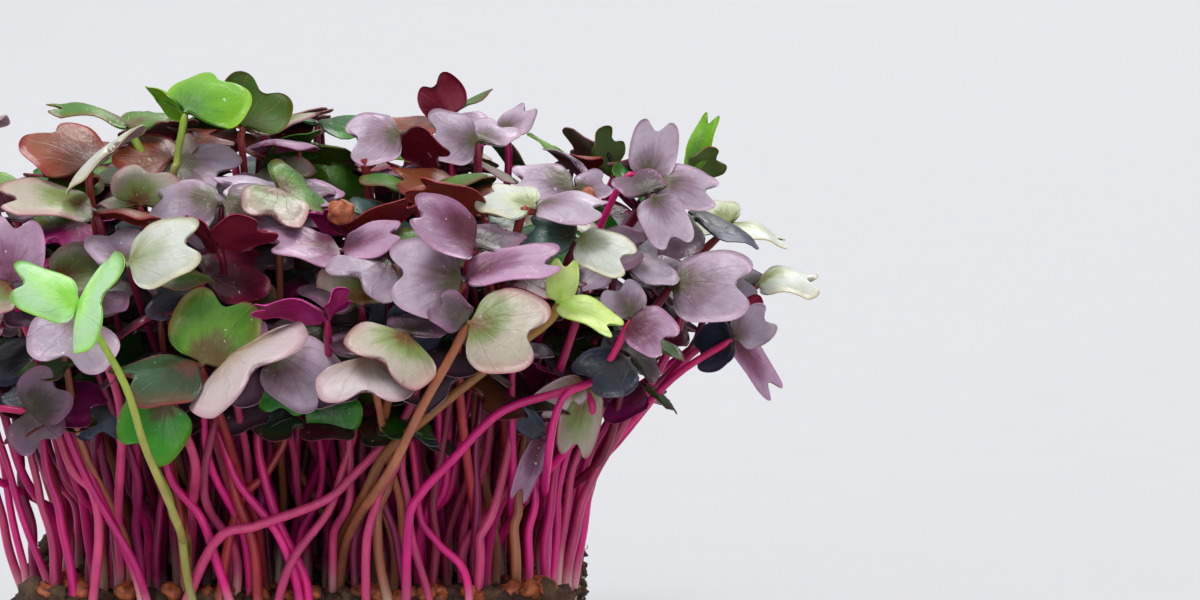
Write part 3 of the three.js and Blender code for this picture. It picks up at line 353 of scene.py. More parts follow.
# The leaf's middle surface, at a distance across in millimetres and a share of its length
def leaf_point(grown, aside, share):
    bent = min(max(share, 0), 1)
    rise = grown["arch"] * grown["length"] * 4 * bent * (1 - bent)
    lifted = rise + abs(aside) * math.tan(math.radians(grown["fold"]))
    return (grown["crown"] + grown["along"] * (grown["length"] * share)
            + grown["across"] * aside + grown["out"] * lifted)


def lifted_foot(foot):
    return Vector3(foot[0], foot[1], SOIL_TOP - 4)


def grow(plan, clump, place, slide, sway):
    foot = foot_of(clump, place)
    crown = seen(plan["crown"][0], plan["crown"][1], plan["crown"][2] + slide)
    bends = [seen(bend[0], bend[1], bend[2] + slide) for bend in plan["bends"]][::-1]
    low = foot.copy()
    low[2] += 9
    low[0] += (crown[0] - foot[0]) * 0.06
    low[1] += (crown[1] - foot[1]) * 0.06
    if not bends:
        middle = foot + (crown - foot) * 0.55
        middle[0] -= (crown[0] - foot[0]) * 0.12 - sway[0]
        middle[1] -= (crown[1] - foot[1]) * 0.18 - sway[1]
        bends = [middle]
    route = [lifted_foot(foot), low, *bends, crown]
    leaves = []
    for blade in plan["leaves"]:
        tip = seen(blade["tip"][0], blade["tip"][1], plan["crown"][2] + slide + blade["tip"][2])
        leaves.append(grown_leaf(crown, tip, blade))
    return dict(name=plan["name"], crown=crown, route=route, leaves=leaves, stem=plan["stem"])


# A point on the smooth curve through a route, at a share of the way, as three.js draws it
def curve_point(route, share):
    last = len(route) - 1
    spot = last * share
    index = min(math.floor(spot), last - 1)
    weight = spot - index
    before = route[index - 1] if index > 0 else route[0] * 2 - route[1]
    start = route[index]
    end = route[index + 1]
    after = route[index + 2] if index + 2 <= last else route[last] * 2 - route[last - 1]
    into = (end - before) * 0.5
    leaving = (after - start) * 0.5
    square = weight * weight
    cube = square * weight
    return (start * (2 * cube - 3 * square + 1) + end * (-2 * cube + 3 * square)
            + into * (cube - 2 * square + weight) + leaving * (cube - square))


# Points that stand for a seedling where its distance from others is tested
def probes(grown):
    points = [curve_point(grown["route"], step / 24) for step in range(3, 25)]
    for blade in grown["leaves"]:
        for share in [0.45, 0.65, 0.85, 1.05]:
            for side in [-0.85, -0.45, 0, 0.45, 0.85]:
                points.append(leaf_point(blade, side * blade["width"] / 2, share))
    return np.array(points)


# How many probes of one seedling come too near those of the others
def crowding(points, others):
    if not others:
        return 0
    low = points.min(axis=0) - CLEARANCE
    high = points.max(axis=0) + CLEARANCE
    boxes = np.array([other["box"] for other in others])
    close = np.all((boxes[:, 0] <= high) & (boxes[:, 1] >= low), axis=1)
    count = 0
    for index in np.nonzero(close)[0]:
        apart = points[:, None, :] - others[index]["points"][None, :, :]
        near = (apart * apart).sum(axis=2) < CLEARANCE * CLEARANCE
        count += int(near.any(axis=1).sum())
    return count


# The first of several versions of a seedling that is clear of the others, or else the clearest
def clearest(versions, others):
    best = None
    for version in versions:
        grown = version()
        if grown is None:
            continue
        points = probes(grown)
        count = crowding(points, others)
        if best is None or count < best[2]:
            best = (grown, points, count)
        if count == 0:
            break
    if best is None:
        return None
    others.append(dict(points=best[1], box=[best[1].min(axis=0), best[1].max(axis=0)]))
    return best[0]


def nearest_free(clumps, root):
    free = [clump for clump in clumps if len(clump["sprouts"]) < CLUMP_PLACES]
    return min(free, key=lambda clump: math.hypot(clump["x"] - root[0], clump["y"] - root[1]))


# A seedling of the parts that don't show from the front, drawn at random
def wild_sprout(clump, place, random):
    foot = foot_of(clump, place)
    out_x = foot[0] / BLOCK_HALF
    out_y = foot[1] / BLOCK_HALF
    edge = min(math.hypot(out_x, out_y), 1.1)
    spread = 1 + 0.55 * random()
    tall = 68 - 10 * random() - 22 * edge * edge * random()
    crown = Vector3(foot[0] * spread + 8 * (random() - 0.5),
                    foot[1] * spread + 8 * (random() - 0.5), SOIL_TOP + tall)
    low = foot.copy()
    low[2] += 10
    middle = foot + (crown - foot) * 0.55
    middle[0] -= (crown[0] - foot[0]) * 0.2
    middle[1] -= (crown[1] - foot[1]) * 0.2
    turn = 2 * math.pi * random()
    leaves = []
    for side in [0, 1]:
        angle = turn + side * (math.pi - 0.5 + random())
        length = 9 + 3 * random()
        tip = crown + Vector3(length * math.cos(angle), length * math.sin(angle),
                              length * (0.5 * random() - 0.1))
        face = [0.7 * out_x + 0.4 * (random() - 0.5), 0.7 * out_y + 0.4 * (random() - 0.5), 1]
        width = 10.5 + 3.5 * random()
        fold = 20 * random() - 14
        tone = TONES[math.floor(random() * len(TONES))]
        leaves.append(grown_leaf(crown, tip, leaf(tip, face, width, tone, 0.07, fold)))
    route = [lifted_foot(foot), low, middle, crown]
    return dict(name="wild", crown=crown, route=route, leaves=leaves, stem="magenta")


def grow_all(clumps, random):
    others = []
    for plan in SHOWN:
        clump = nearest_free(clumps, plan["root"])
        place = len(clump["sprouts"])
        versions = [lambda slide=slide, sway=sway: grow(plan, clump, place, slide, sway)
                    for slide in SLIDES for sway in SWAYS]
        clump["sprouts"].append(clearest(versions, others))
    for clump in clumps:
        while len(clump["sprouts"]) < LEAST_SEEDLINGS:
            place = len(clump["sprouts"])
            versions = [lambda: wild_sprout(clump, place, random)] * DRAWS
            clump["sprouts"].append(clearest(versions, others))
    return others


# Mesh helpers

# A mesh object from points in millimetres, its faces, and a value or colour at each point by name
def mesh_object(name, points, faces, materials, face_materials=None, values=None):
    mesh = bpy.data.meshes.new(name)
    mesh.from_pydata((np.asarray(points) * MM).tolist(), [], [tuple(face) for face in faces])
    for material in materials:
        mesh.materials.append(material)
    if face_materials is not None:
        mesh.polygons.foreach_set("material_index", np.asarray(face_materials, dtype=np.int32))
    for label, data in (values or {}).items():
        data = np.asarray(data, dtype=float)
        if data.ndim == 1:
            layer = mesh.attributes.new(label, "FLOAT", "POINT")
            layer.data.foreach_set("value", data)
        else:
            layer = mesh.attributes.new(label, "FLOAT_COLOR", "POINT")
            solid = np.ones((len(data), 4))
            solid[:, :3] = data
            layer.data.foreach_set("color", solid.ravel())
    mesh.polygons.foreach_set("use_smooth", [True] * len(mesh.polygons))
    mesh.update()
    piece = bpy.data.objects.new(name, mesh)
    bpy.context.scene.collection.objects.link(piece)
    return piece


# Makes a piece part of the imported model, in place of one of its nodes where that is named
def settle(piece, node=None):
    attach(piece, "root")
    if node:
        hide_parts(node)


# Several small meshes gathered into one: points, faces, material numbers and point values
class Gathered:
    def __init__(self):
        self.points = []
        self.faces = []
        self.face_materials = []
        self.values = {}
        self.count = 0

    def add(self, points, faces, material, values):
        points = np.asarray(points, dtype=float)
        self.points.append(points)
        self.faces.append(np.asarray(faces, dtype=np.int64) + self.count)
        self.face_materials.append(np.full(len(faces), material))
        for label, data in values.items():
            data = np.asarray(data, dtype=float)
            if data.ndim < 2 and data.size == 1:
                data = np.full(len(points), float(data))
            elif data.ndim == 1 and len(data) == 3 and len(points) != 3:
                data = np.tile(data, (len(points), 1))
            self.values.setdefault(label, []).append(data)
        self.count += len(points)

    def finish(self, name, materials):
        points = np.concatenate(self.points)
        faces = [face for block in self.faces for face in block.tolist()]
        values = {label: np.concatenate(blocks) for label, blocks in self.values.items()}
        return mesh_object(name, points, faces, materials, np.concatenate(self.face_materials), values)


# Faces of a grid of rows and columns, closed round the columns where ring is true
def grid_faces(rows, columns, ring=False, flip=False):
    around = columns if ring else columns - 1
    row, column = np.meshgrid(np.arange(rows - 1), np.arange(around), indexing="ij")
    here = row * columns + column
    beside = row * columns + (column + 1) % columns
    faces = np.stack([here, beside, beside + columns, here + columns], axis=-1).reshape(-1, 4)
    return faces[:, ::-1] if flip else faces


# Looks: colours are given as seen on a screen, and are turned into linear light

def linear(colour):
    shares = np.asarray(colour, dtype=float) / 255
    return np.where(shares <= 0.04045, shares / 12.92, ((shares + 0.055) / 1.055) ** 2.4)


# Each kind of leaf: the outer part of its upper side, the middle, its base, its rim, its underside
LEAF_LOOKS = {
    "green": ([62, 104, 34], [88, 126, 50], [88, 70, 38], [136, 92, 66], [66, 84, 30]),
    "moss": ([58, 84, 58], [52, 66, 42], [86, 44, 40], [150, 74, 74], [96, 44, 44]),
    "pale": ([194, 182, 182], [172, 156, 144], [126, 86, 66], [208, 172, 180], [112, 46, 74]),
    "dusk": ([104, 84, 98], [66, 52, 54], [50, 44, 30], [150, 108, 132], [82, 22, 46]),
    "sage": ([172, 164, 152], [118, 132, 84], [100, 68, 42], [178, 124, 128], [110, 46, 60]),
    "ink": ([44, 54, 70], [30, 38, 48], [30, 26, 32], [92, 84, 112], [48, 18, 38]),
    "lilac": ([178, 164, 178], [132, 112, 124], [76, 70, 46], [204, 176, 194], [100, 22, 54]),
    "mint": ([190, 224, 184], [176, 218, 150], [146, 200, 100], [150, 206, 90], [136, 186, 90]),
    "white": ([206, 210, 202], [184, 192, 166], [126, 130, 88], [204, 194, 158], [136, 104, 108]),
    "deep": ([40, 104, 28], [30, 80, 24], [28, 60, 22], [90, 140, 54], [46, 72, 26]),
    "rose": ([166, 140, 160], [118, 78, 102], [84, 40, 54], [196, 150, 180], [132, 26, 70]),
    "teal": ([80, 104, 98], [48, 72, 62], [40, 44, 34], [126, 138, 134], [56, 38, 54]),
    "lime": ([106, 156, 16], [86, 134, 10], [66, 112, 8], [150, 190, 56], [106, 158, 22]),
    "vivid": ([62, 138, 30], [46, 116, 24], [74, 58, 30], [116, 150, 62], [60, 108, 30]),
    "lemon": ([198, 214, 146], [180, 204, 122], [156, 188, 96], [166, 196, 104], [146, 176, 88]),
    "olive": ([122, 72, 48], [108, 54, 42], [80, 44, 30], [170, 76, 80], [120, 46, 46]),
    "maroon": ([96, 30, 54], [76, 22, 38], [54, 16, 28], [160, 56, 86], [108, 20, 48]),
    "plum": ([158, 44, 118], [130, 26, 84], [90, 18, 52], [206, 88, 154], [130, 24, 82]),
}

# Each kind of stem: its colour in the middle and near the crown
STEM_LOOKS = {
    "brick": ([176, 54, 58], [136, 50, 38]),
    "rose": ([218, 70, 124], [184, 62, 88]),
    "tan": ([190, 118, 84], [160, 92, 56]),
    "plum": ([158, 26, 92], [110, 20, 50]),
    "magenta": ([232, 32, 132], [190, 28, 88]),
    "lime": ([176, 172, 84], [150, 192, 56]),
    "maroon": ([146, 26, 68], [116, 24, 44]),
    "ochre": ([168, 106, 58], [184, 148, 58]),
}
STEM_FOOT = [226, 206, 188]


# One small program of shader nodes
class Shader:
    def __init__(self, name):
        self.material = bpy.data.materials.new(name)
        self.material.use_nodes = True
        self.tree = self.material.node_tree
        self.tree.nodes.clear()
        self.main = self.node("BsdfPrincipled")
        self.fill(self.node("OutputMaterial").inputs["Surface"], self.main.outputs["BSDF"])

    # Gives a socket a number, a colour as seen on a screen, or another node's output
    def fill(self, socket, given):
        if isinstance(given, (int, float)):
            socket.default_value = given
        elif isinstance(given, list):
            socket.default_value = (*linear(given).tolist(), 1)
        else:
            self.tree.links.new(given, socket)

    # A new node with its sockets and settings by name
    def node(self, kind, **given):
        made = self.tree.nodes.new("ShaderNode" + kind)
        for label, value in given.items():
            socket = made.inputs.get(label.replace("_", " "))
            if socket is not None:
                self.fill(socket, value)
            else:
                setattr(made, label, value)
        return made

    def value(self, name):
        return self.node("Attribute", attribute_name=name).outputs["Fac"]

    def colour(self, name):
        return self.node("Attribute", attribute_name=name).outputs["Color"]

    def noise(self, scale, detail=3, roughness=0.55, where=None):
        where = where or self.node("TexCoord").outputs["Object"]
        made = self.node("TexNoise", Scale=scale, Detail=detail, Roughness=roughness, Vector=where)
        return made.outputs["Fac"]

    def math(self, operation, first, second=None):
        made = self.node("Math", operation=operation)
        self.fill(made.inputs[0], first)
        if second is not None:
            self.fill(made.inputs[1], second)
        return made.outputs[0]

    def plus(self, first, second):
        return self.math("ADD", first, second)

    def times(self, first, second):
        return self.math("MULTIPLY", first, second)

    # A share from 0 to 1 as the value goes from low to high
    def ramp(self, value, low, high, top=1.0, bottom=0.0):
        return self.node("MapRange", interpolation_type="SMOOTHSTEP", Value=value, From_Min=low,
                         From_Max=high, To_Min=bottom, To_Max=top).outputs["Result"]

    def mix(self, share, first, second):
        made = self.node("Mix", data_type="RGBA")
        for label, given in [("Factor_Float", share), ("A_Color", first), ("B_Color", second)]:
            self.fill(next(socket for socket in made.inputs if socket.identifier == label), given)
        return next(socket for socket in made.outputs if socket.identifier == "Result_Color")

    def bump(self, height, strength, distance):
        return self.node("Bump", Height=height, Strength=strength, Distance=distance).outputs["Normal"]

    # Fills the sockets of the surface and gives back the finished material
    def finish(self, **given):
        for label, value in given.items():
            self.fill(self.main.inputs[label.replace("_", " ")], value)
        return self.material


# Veins that fan out from a leaf's base: 1 on a vein and 0 between veins
def vein_pattern(shader, aside, along):
    spread = shader.math("ARCTAN2", aside, shader.plus(along, 0.12))
    wander = shader.times(shader.math("SUBTRACT", shader.noise(220, 1), 0.5), 0.35)
    fan = shader.times(shader.plus(spread, wander), 2.3)
    return shader.ramp(shader.math("PINGPONG", fan, 0.5), 0.0, 0.05, 0.0, 1.0)


def make_leaf_upper():
    shader = Shader("leaf_upper")
    aside, along, rimward, tilt = [shader.value(name) for name in ("aside", "along", "rimward", "tilt")]
    main, second, base, rim = [shader.colour(name) for name in ("main", "second", "base", "rim")]
    vein = vein_pattern(shader, aside, along)
    outward = shader.math("SQRT", shader.plus(shader.times(aside, aside), shader.times(along, along)))
    ray = shader.node("CombineXYZ", X=shader.times(shader.math("ARCTAN2", aside, along), 5.0),
                      Y=shader.times(outward, 1.3), Z=shader.times(tilt, 40.0))
    streaks = shader.noise(1.0, 3, 0.6, ray.outputs["Vector"])
    cloud = shader.math("SUBTRACT", shader.times(shader.noise(150), 0.9), 0.45)
    spread = shader.plus(outward, shader.times(shader.math("SUBTRACT", streaks, 0.5), 0.55))
    # aside times the leaf's random draw is painted shade: one lobe lighter and the other darker, as lobes
    # facing toward and away from the light are
    for part in [cloud, shader.times(shader.times(aside, tilt), 0.28), shader.times(tilt, 0.16)]:
        spread = shader.plus(spread, part)
    mottle = shader.noise(900, 4, 0.65)
    veined = shader.times(vein, shader.ramp(along, 0.2, 0.9, 0.08, 0.38))
    layers = [(shader.ramp(spread, 0.14, 0.56), second), (shader.ramp(spread, 0.46, 0.98), main),
              (shader.ramp(mottle, 0.48, 0.78, 0.35), second),
              (veined, shader.mix(0.35, base, [150, 70, 80])),
              (shader.ramp(rimward, 0.6, 0.97, 0.35), rim), (shader.ramp(rimward, 0.95, 0.985, 0.85), rim),
              (shader.ramp(shader.noise(1500, 1), 0.75, 0.79, 0.6), [225, 220, 225])]
    colour = base
    for share, over in layers:
        colour = shader.mix(share, colour, over)
    relief = shader.plus(shader.times(vein, -0.12), shader.noise(420))
    return shader.finish(Base_Color=colour, Roughness=shader.ramp(mottle, 0.3, 0.8, 0.5, 0.38),
                         Normal=shader.bump(relief, 0.5, 0.0005), Specular_IOR_Level=0.45,
                         Sheen_Weight=0.03, Sheen_Roughness=0.4)


def make_leaf_lower():
    shader = Shader("leaf_lower")
    main, rim, under = [shader.colour(name) for name in ("main", "rim", "under")]
    vein = vein_pattern(shader, shader.value("aside"), shader.value("along"))
    patch = shader.ramp(shader.noise(200, 3, 0.6), 0.35, 0.7)
    colour = shader.mix(patch, under, shader.mix(0.45, under, main))
    colour = shader.mix(shader.times(vein, 0.35), colour, rim)
    colour = shader.mix(shader.ramp(shader.value("rimward"), 0.94, 0.985, 0.6), colour, rim)
    relief = shader.bump(shader.plus(vein, shader.noise(500, 4)), 0.35, 0.0004)
    return shader.finish(Base_Color=colour, Roughness=0.5, Normal=relief, Specular_IOR_Level=0.35)


def make_stem_material():
    shader = Shader("stem")
    second = shader.colour("second")
    drawn_out = shader.node("Mapping", Vector=shader.node("TexCoord").outputs["Object"])
    drawn_out.inputs["Scale"].default_value = (1, 1, 0.06)
    streak = shader.noise(900, 3, 0.6, drawn_out.outputs["Vector"])
    blotch = shader.noise(150)
    colour = shader.mix(shader.ramp(streak, 0.3, 0.7, 0.45), shader.colour("main"), second)
    colour = shader.mix(shader.ramp(blotch, 0.4, 0.7, 0.5), colour, second)
    pale = shader.times(shader.value("footward"), shader.ramp(blotch, 0.25, 0.6, 1.0, 0.75))
    return shader.finish(Base_Color=shader.mix(pale, colour, STEM_FOOT), Roughness=0.36,
                         Normal=shader.bump(streak, 0.25, 0.0002), Specular_IOR_Level=0.4)


def make_hull_material():
    shader = Shader("seed_hull")
    wrinkle = shader.noise(900, 4, 0.6)
    colour = shader.mix(shader.ramp(wrinkle, 0.35, 0.7), [176, 92, 52], [98, 48, 28])
    return shader.finish(Base_Color=colour, Roughness=0.55, Normal=shader.bump(wrinkle, 0.5, 0.0004))


def make_soil_material():
    shader = Shader("compost")
    coarse = shader.noise(240, 6, 0.7)
    fine = shader.noise(1400, 5, 0.7)
    colour = shader.mix(shader.ramp(coarse, 0.35, 0.7), [48, 34, 26], [104, 78, 56])
    colour = shader.mix(shader.ramp(fine, 0.55, 0.75, 0.6), colour, [150, 124, 96])
    height = shader.plus(coarse, shader.times(fine, 0.5))
    return shader.finish(Base_Color=colour, Roughness=0.95, Normal=shader.bump(height, 0.8, 0.001))


# A material that a grain mixes from two colours, with a bump of a strength and a distance where given
def make_grained(name, scale, first, second, bump=None, **given):
    shader = Shader(name)
    grain = shader.noise(scale, 2)
    if bump:
        given["Normal"] = shader.bump(grain, *bump)
    return shader.finish(Base_Color=shader.mix(grain, first, second), **given)


# Fine leaves and stems

PLAIN = dict(main=[0, 0, 0], second=[0, 0, 0], base=[0, 0, 0], rim=[0, 0, 0], under=[0, 0, 0],
             footward=0.0, aside=0.0, along=0.0, rimward=0.0, tilt=0.0)

# Half of a leaf's edge, from its stalk round its lobe to the notch: for each point, the share of the
# half width, the share of the length, and how far along the midrib the line to it starts
STALK_HALF = 0.45
EDGE = [
    (0.0, 0.0, 0.0), (0.02, 0.05, 0.05), (0.20, 0.07, 0.08), (0.50, 0.09, 0.13), (0.80, 0.18, 0.20),
    (0.96, 0.36, 0.29), (1.0, 0.58, 0.40), (0.97, 0.81, 0.52), (0.88, 1.01, 0.63), (0.72, 1.15, 0.73),
    (0.52, 1.21, 0.82), (0.34, 1.19, 0.89), (0.18, 1.11, 0.95), (0.06, 1.03, 0.99), (0.0, 1.0, 1.0),
]
BLADE_THICK = 0.42
STALK_THICK = 0.95
FINE = (34, 6)
COARSE = (20, 4)


# The edge as a smooth curve through its points
def smooth_edge(count):
    route = [np.array(point) for point in EDGE]
    rows = np.array([curve_point(route, row / (count - 1)) for row in range(count)])
    rows[:, 0] = np.maximum(rows[:, 0], 0)
    rows[-1] = route[-1]
    return rows


SMOOTH_EDGES = {detail: smooth_edge(detail[0]) for detail in (FINE, COARSE)}


# One leaf: two faces and a rim between them, from the crown to the notch
def add_leaf(gathered, grown, jitter, detail=FINE, shade=1.0):
    edge = SMOOTH_EDGES[detail]
    half = grown["width"] / 2
    length = grown["length"]
    edge_aside = STALK_HALF + edge[:, 0] * (half - STALK_HALF)
    edge_aside[-1] = 0
    edge_aside[-2] *= 0.7
    columns = np.linspace(-1, 1, 2 * detail[1] + 1)
    reach = np.abs(columns)
    aside = edge_aside[:, None] * columns[None, :]
    uneven = 1 + 0.05 * jitter.uniform(-1, 1) * np.sign(columns)[None, :] * edge[:, 0][:, None]
    share = (edge[:, 2][:, None] * (1 - reach)[None, :] + edge[:, 1][:, None] * reach[None, :]) * uneven
    bent = np.clip(share, 0, 1)
    fold = math.tan(math.radians(grown["fold"]))
    soft = np.sqrt(aside ** 2 + 0.5) - math.sqrt(0.5)
    rise = grown["arch"] * length * 4 * bent * (1 - bent) + soft * fold
    blade = np.clip((share - 0.1) / 0.2, 0, 1)
    phase = jitter.uniform(0, 6.3)
    wave = 0.34 * np.sin(share * 6 + phase) * (aside / half)
    wave = wave + 0.34 * np.sin(share * 4.1 + 2 * phase) * reach ** 2
    curl = -0.09 * jitter.uniform(0.1, 1.5) * half * reach[None, :] ** 4
    rise = rise + blade * (wave + curl)
    rounded = np.sqrt(np.clip(1 - (reach * 0.96) ** 4, 0, 1))
    thick = (STALK_THICK * (1 - blade) + BLADE_THICK * blade) / 2 * rounded[None, :]
    rib = 0.28 * np.exp(-(aside / 0.45) ** 2) * np.clip(1.15 - share, 0, 1) * blade
    flat = (grown["crown"] + grown["along"] * (length * share)[..., None]
            + grown["across"] * aside[..., None])
    upper = flat + grown["out"] * (rise + thick - 0.25 * rib)[..., None]
    lower = flat + grown["out"] * (rise - thick - rib)[..., None]
    rows, count = share.shape
    values = leaf_values(grown["tone"], jitter, shade)
    grid = dict(aside=aside / half, along=(share - 0.12) / 0.9, rimward=reach[None, :] * blade)
    values.update({label: field.ravel() for label, field in grid.items()})
    gathered.add(upper.reshape(-1, 3), grid_faces(rows, count, flip=True), 0, values)
    gathered.add(lower.reshape(-1, 3), grid_faces(rows, count), 1, values)
    rim = np.concatenate([upper[:, 0], upper[::-1, -1], lower[:, 0], lower[::-1, -1]])
    for label, field in grid.items():
        values[label] = np.tile(np.concatenate([field[:, 0], field[::-1, -1]]), 2)
    gathered.add(rim, grid_faces(2, 2 * rows, ring=True), 0, values)


# A leaf's shine pales it, so its own colours are this much deeper and more vivid
LEAF_DEPTH = 0.86
LEAF_VIVID = 0.3


# The colours and values that are the same all over a leaf
def leaf_values(tone, jitter, shade):
    looks = []
    for colour in LEAF_LOOKS[tone]:
        # shade darkens the leaf's colours as painted shade
        light = linear(colour) * shade * LEAF_DEPTH
        looks.append(np.clip(light + (light - light.mean()) * LEAF_VIVID, 0.002, 1))
    values = dict(zip(["main", "second", "base", "rim", "under"], looks))
    values["main"] = values["main"] * (1 + 0.12 * jitter.uniform(-1, 1))
    values["second"] = values["second"] * (1 + 0.2 * jitter.uniform(-1, 1))
    values["footward"] = 0.0
    # A random draw per leaf: it sets which lobe gets the painted shade, offsets the streaks and shifts the
    # whole leaf's colours
    values["tilt"] = jitter.uniform(-1, 1)
    return values


STEM_RINGS = 26
STEM_SPOKES = 8
STEM_FOOT_WIDE = 0.76
STEM_TIP_WIDE = 0.6


# The points of a round tube along its middle line
def tube(centres, ahead, radius, spokes, beside):
    side = np.cross(ahead, beside)
    side /= np.linalg.norm(side, axis=1)[:, None]
    front = np.cross(ahead, side)
    angle = np.linspace(0, 2 * math.pi, spokes, endpoint=False)[None, :, None]
    ring = np.cos(angle) * side[:, None, :] + np.sin(angle) * front[:, None, :]
    return (centres[:, None, :] + ring * radius[:, None, None]).reshape(-1, 3)


# The direction of a line at each of its points
def line_ahead(centres):
    ahead = np.gradient(centres, axis=0)
    return ahead / np.linalg.norm(ahead, axis=1)[:, None]


# One fine stem: a round tube along its route, swollen a little at the crown
def add_stem(gathered, route, tone, jitter, shades):
    main, top = [linear(colour) for colour in STEM_LOOKS[tone]]
    shares = np.linspace(0, 1, STEM_RINGS)
    centres = np.array([curve_point(route, share) for share in shares])
    centres[:, 0] += 0.25 * np.sin(shares * 17 + jitter.uniform(0, 6)) * np.sin(shares * math.pi)
    ahead = line_ahead(centres)
    wide = jitter.uniform(0.84, 1.12)
    radius = (STEM_FOOT_WIDE + (STEM_TIP_WIDE - STEM_FOOT_WIDE) * shares) * wide
    radius = radius + 0.2 * np.exp(-((1 - shares) / 0.035) ** 2)
    radius[-1] *= 0.5
    points = tube(centres, ahead, radius, STEM_SPOKES, [0, 1, 0])
    points = np.vstack([points, centres[-1] + ahead[-1] * 0.3])
    height = centres[:, 2] - SOIL_TOP
    pale = jitter.random() ** 2
    footward = np.clip(1 - height / (3 + 6 * pale), 0, 1) * (0.35 + 0.65 * pale)
    upward = np.clip((shares - 0.55) / 0.45, 0, 1)[:, None]
    # Painted shade: the stem's colours are darkened from shades[0] at the foot to shades[1] at the crown
    shade = (shades[0] + (shades[1] - shades[0]) * shares)[:, None]
    colours = (main * (1 - upward) + top * upward) * (1 + 0.2 * jitter.uniform(-1, 1)) * shade
    spread = np.repeat(colours, STEM_SPOKES, axis=0)
    spread = np.vstack([spread, spread[-1]])
    footward = np.append(np.repeat(footward, STEM_SPOKES), 0)
    values = dict(PLAIN, main=spread, second=spread * np.array([0.5, 0.4, 0.6]), footward=footward)
    last = (STEM_RINGS - 1) * STEM_SPOKES
    faces = grid_faces(STEM_RINGS, STEM_SPOKES, ring=True)
    gathered.add(points, faces, 2, values)
    cap = [[last + i, last + (i + 1) % STEM_SPOKES, len(points) - 1] for i in range(STEM_SPOKES)]
    gathered.faces.append(np.array(cap) + gathered.count - len(points))
    gathered.face_materials.append(np.full(len(cap), 2))


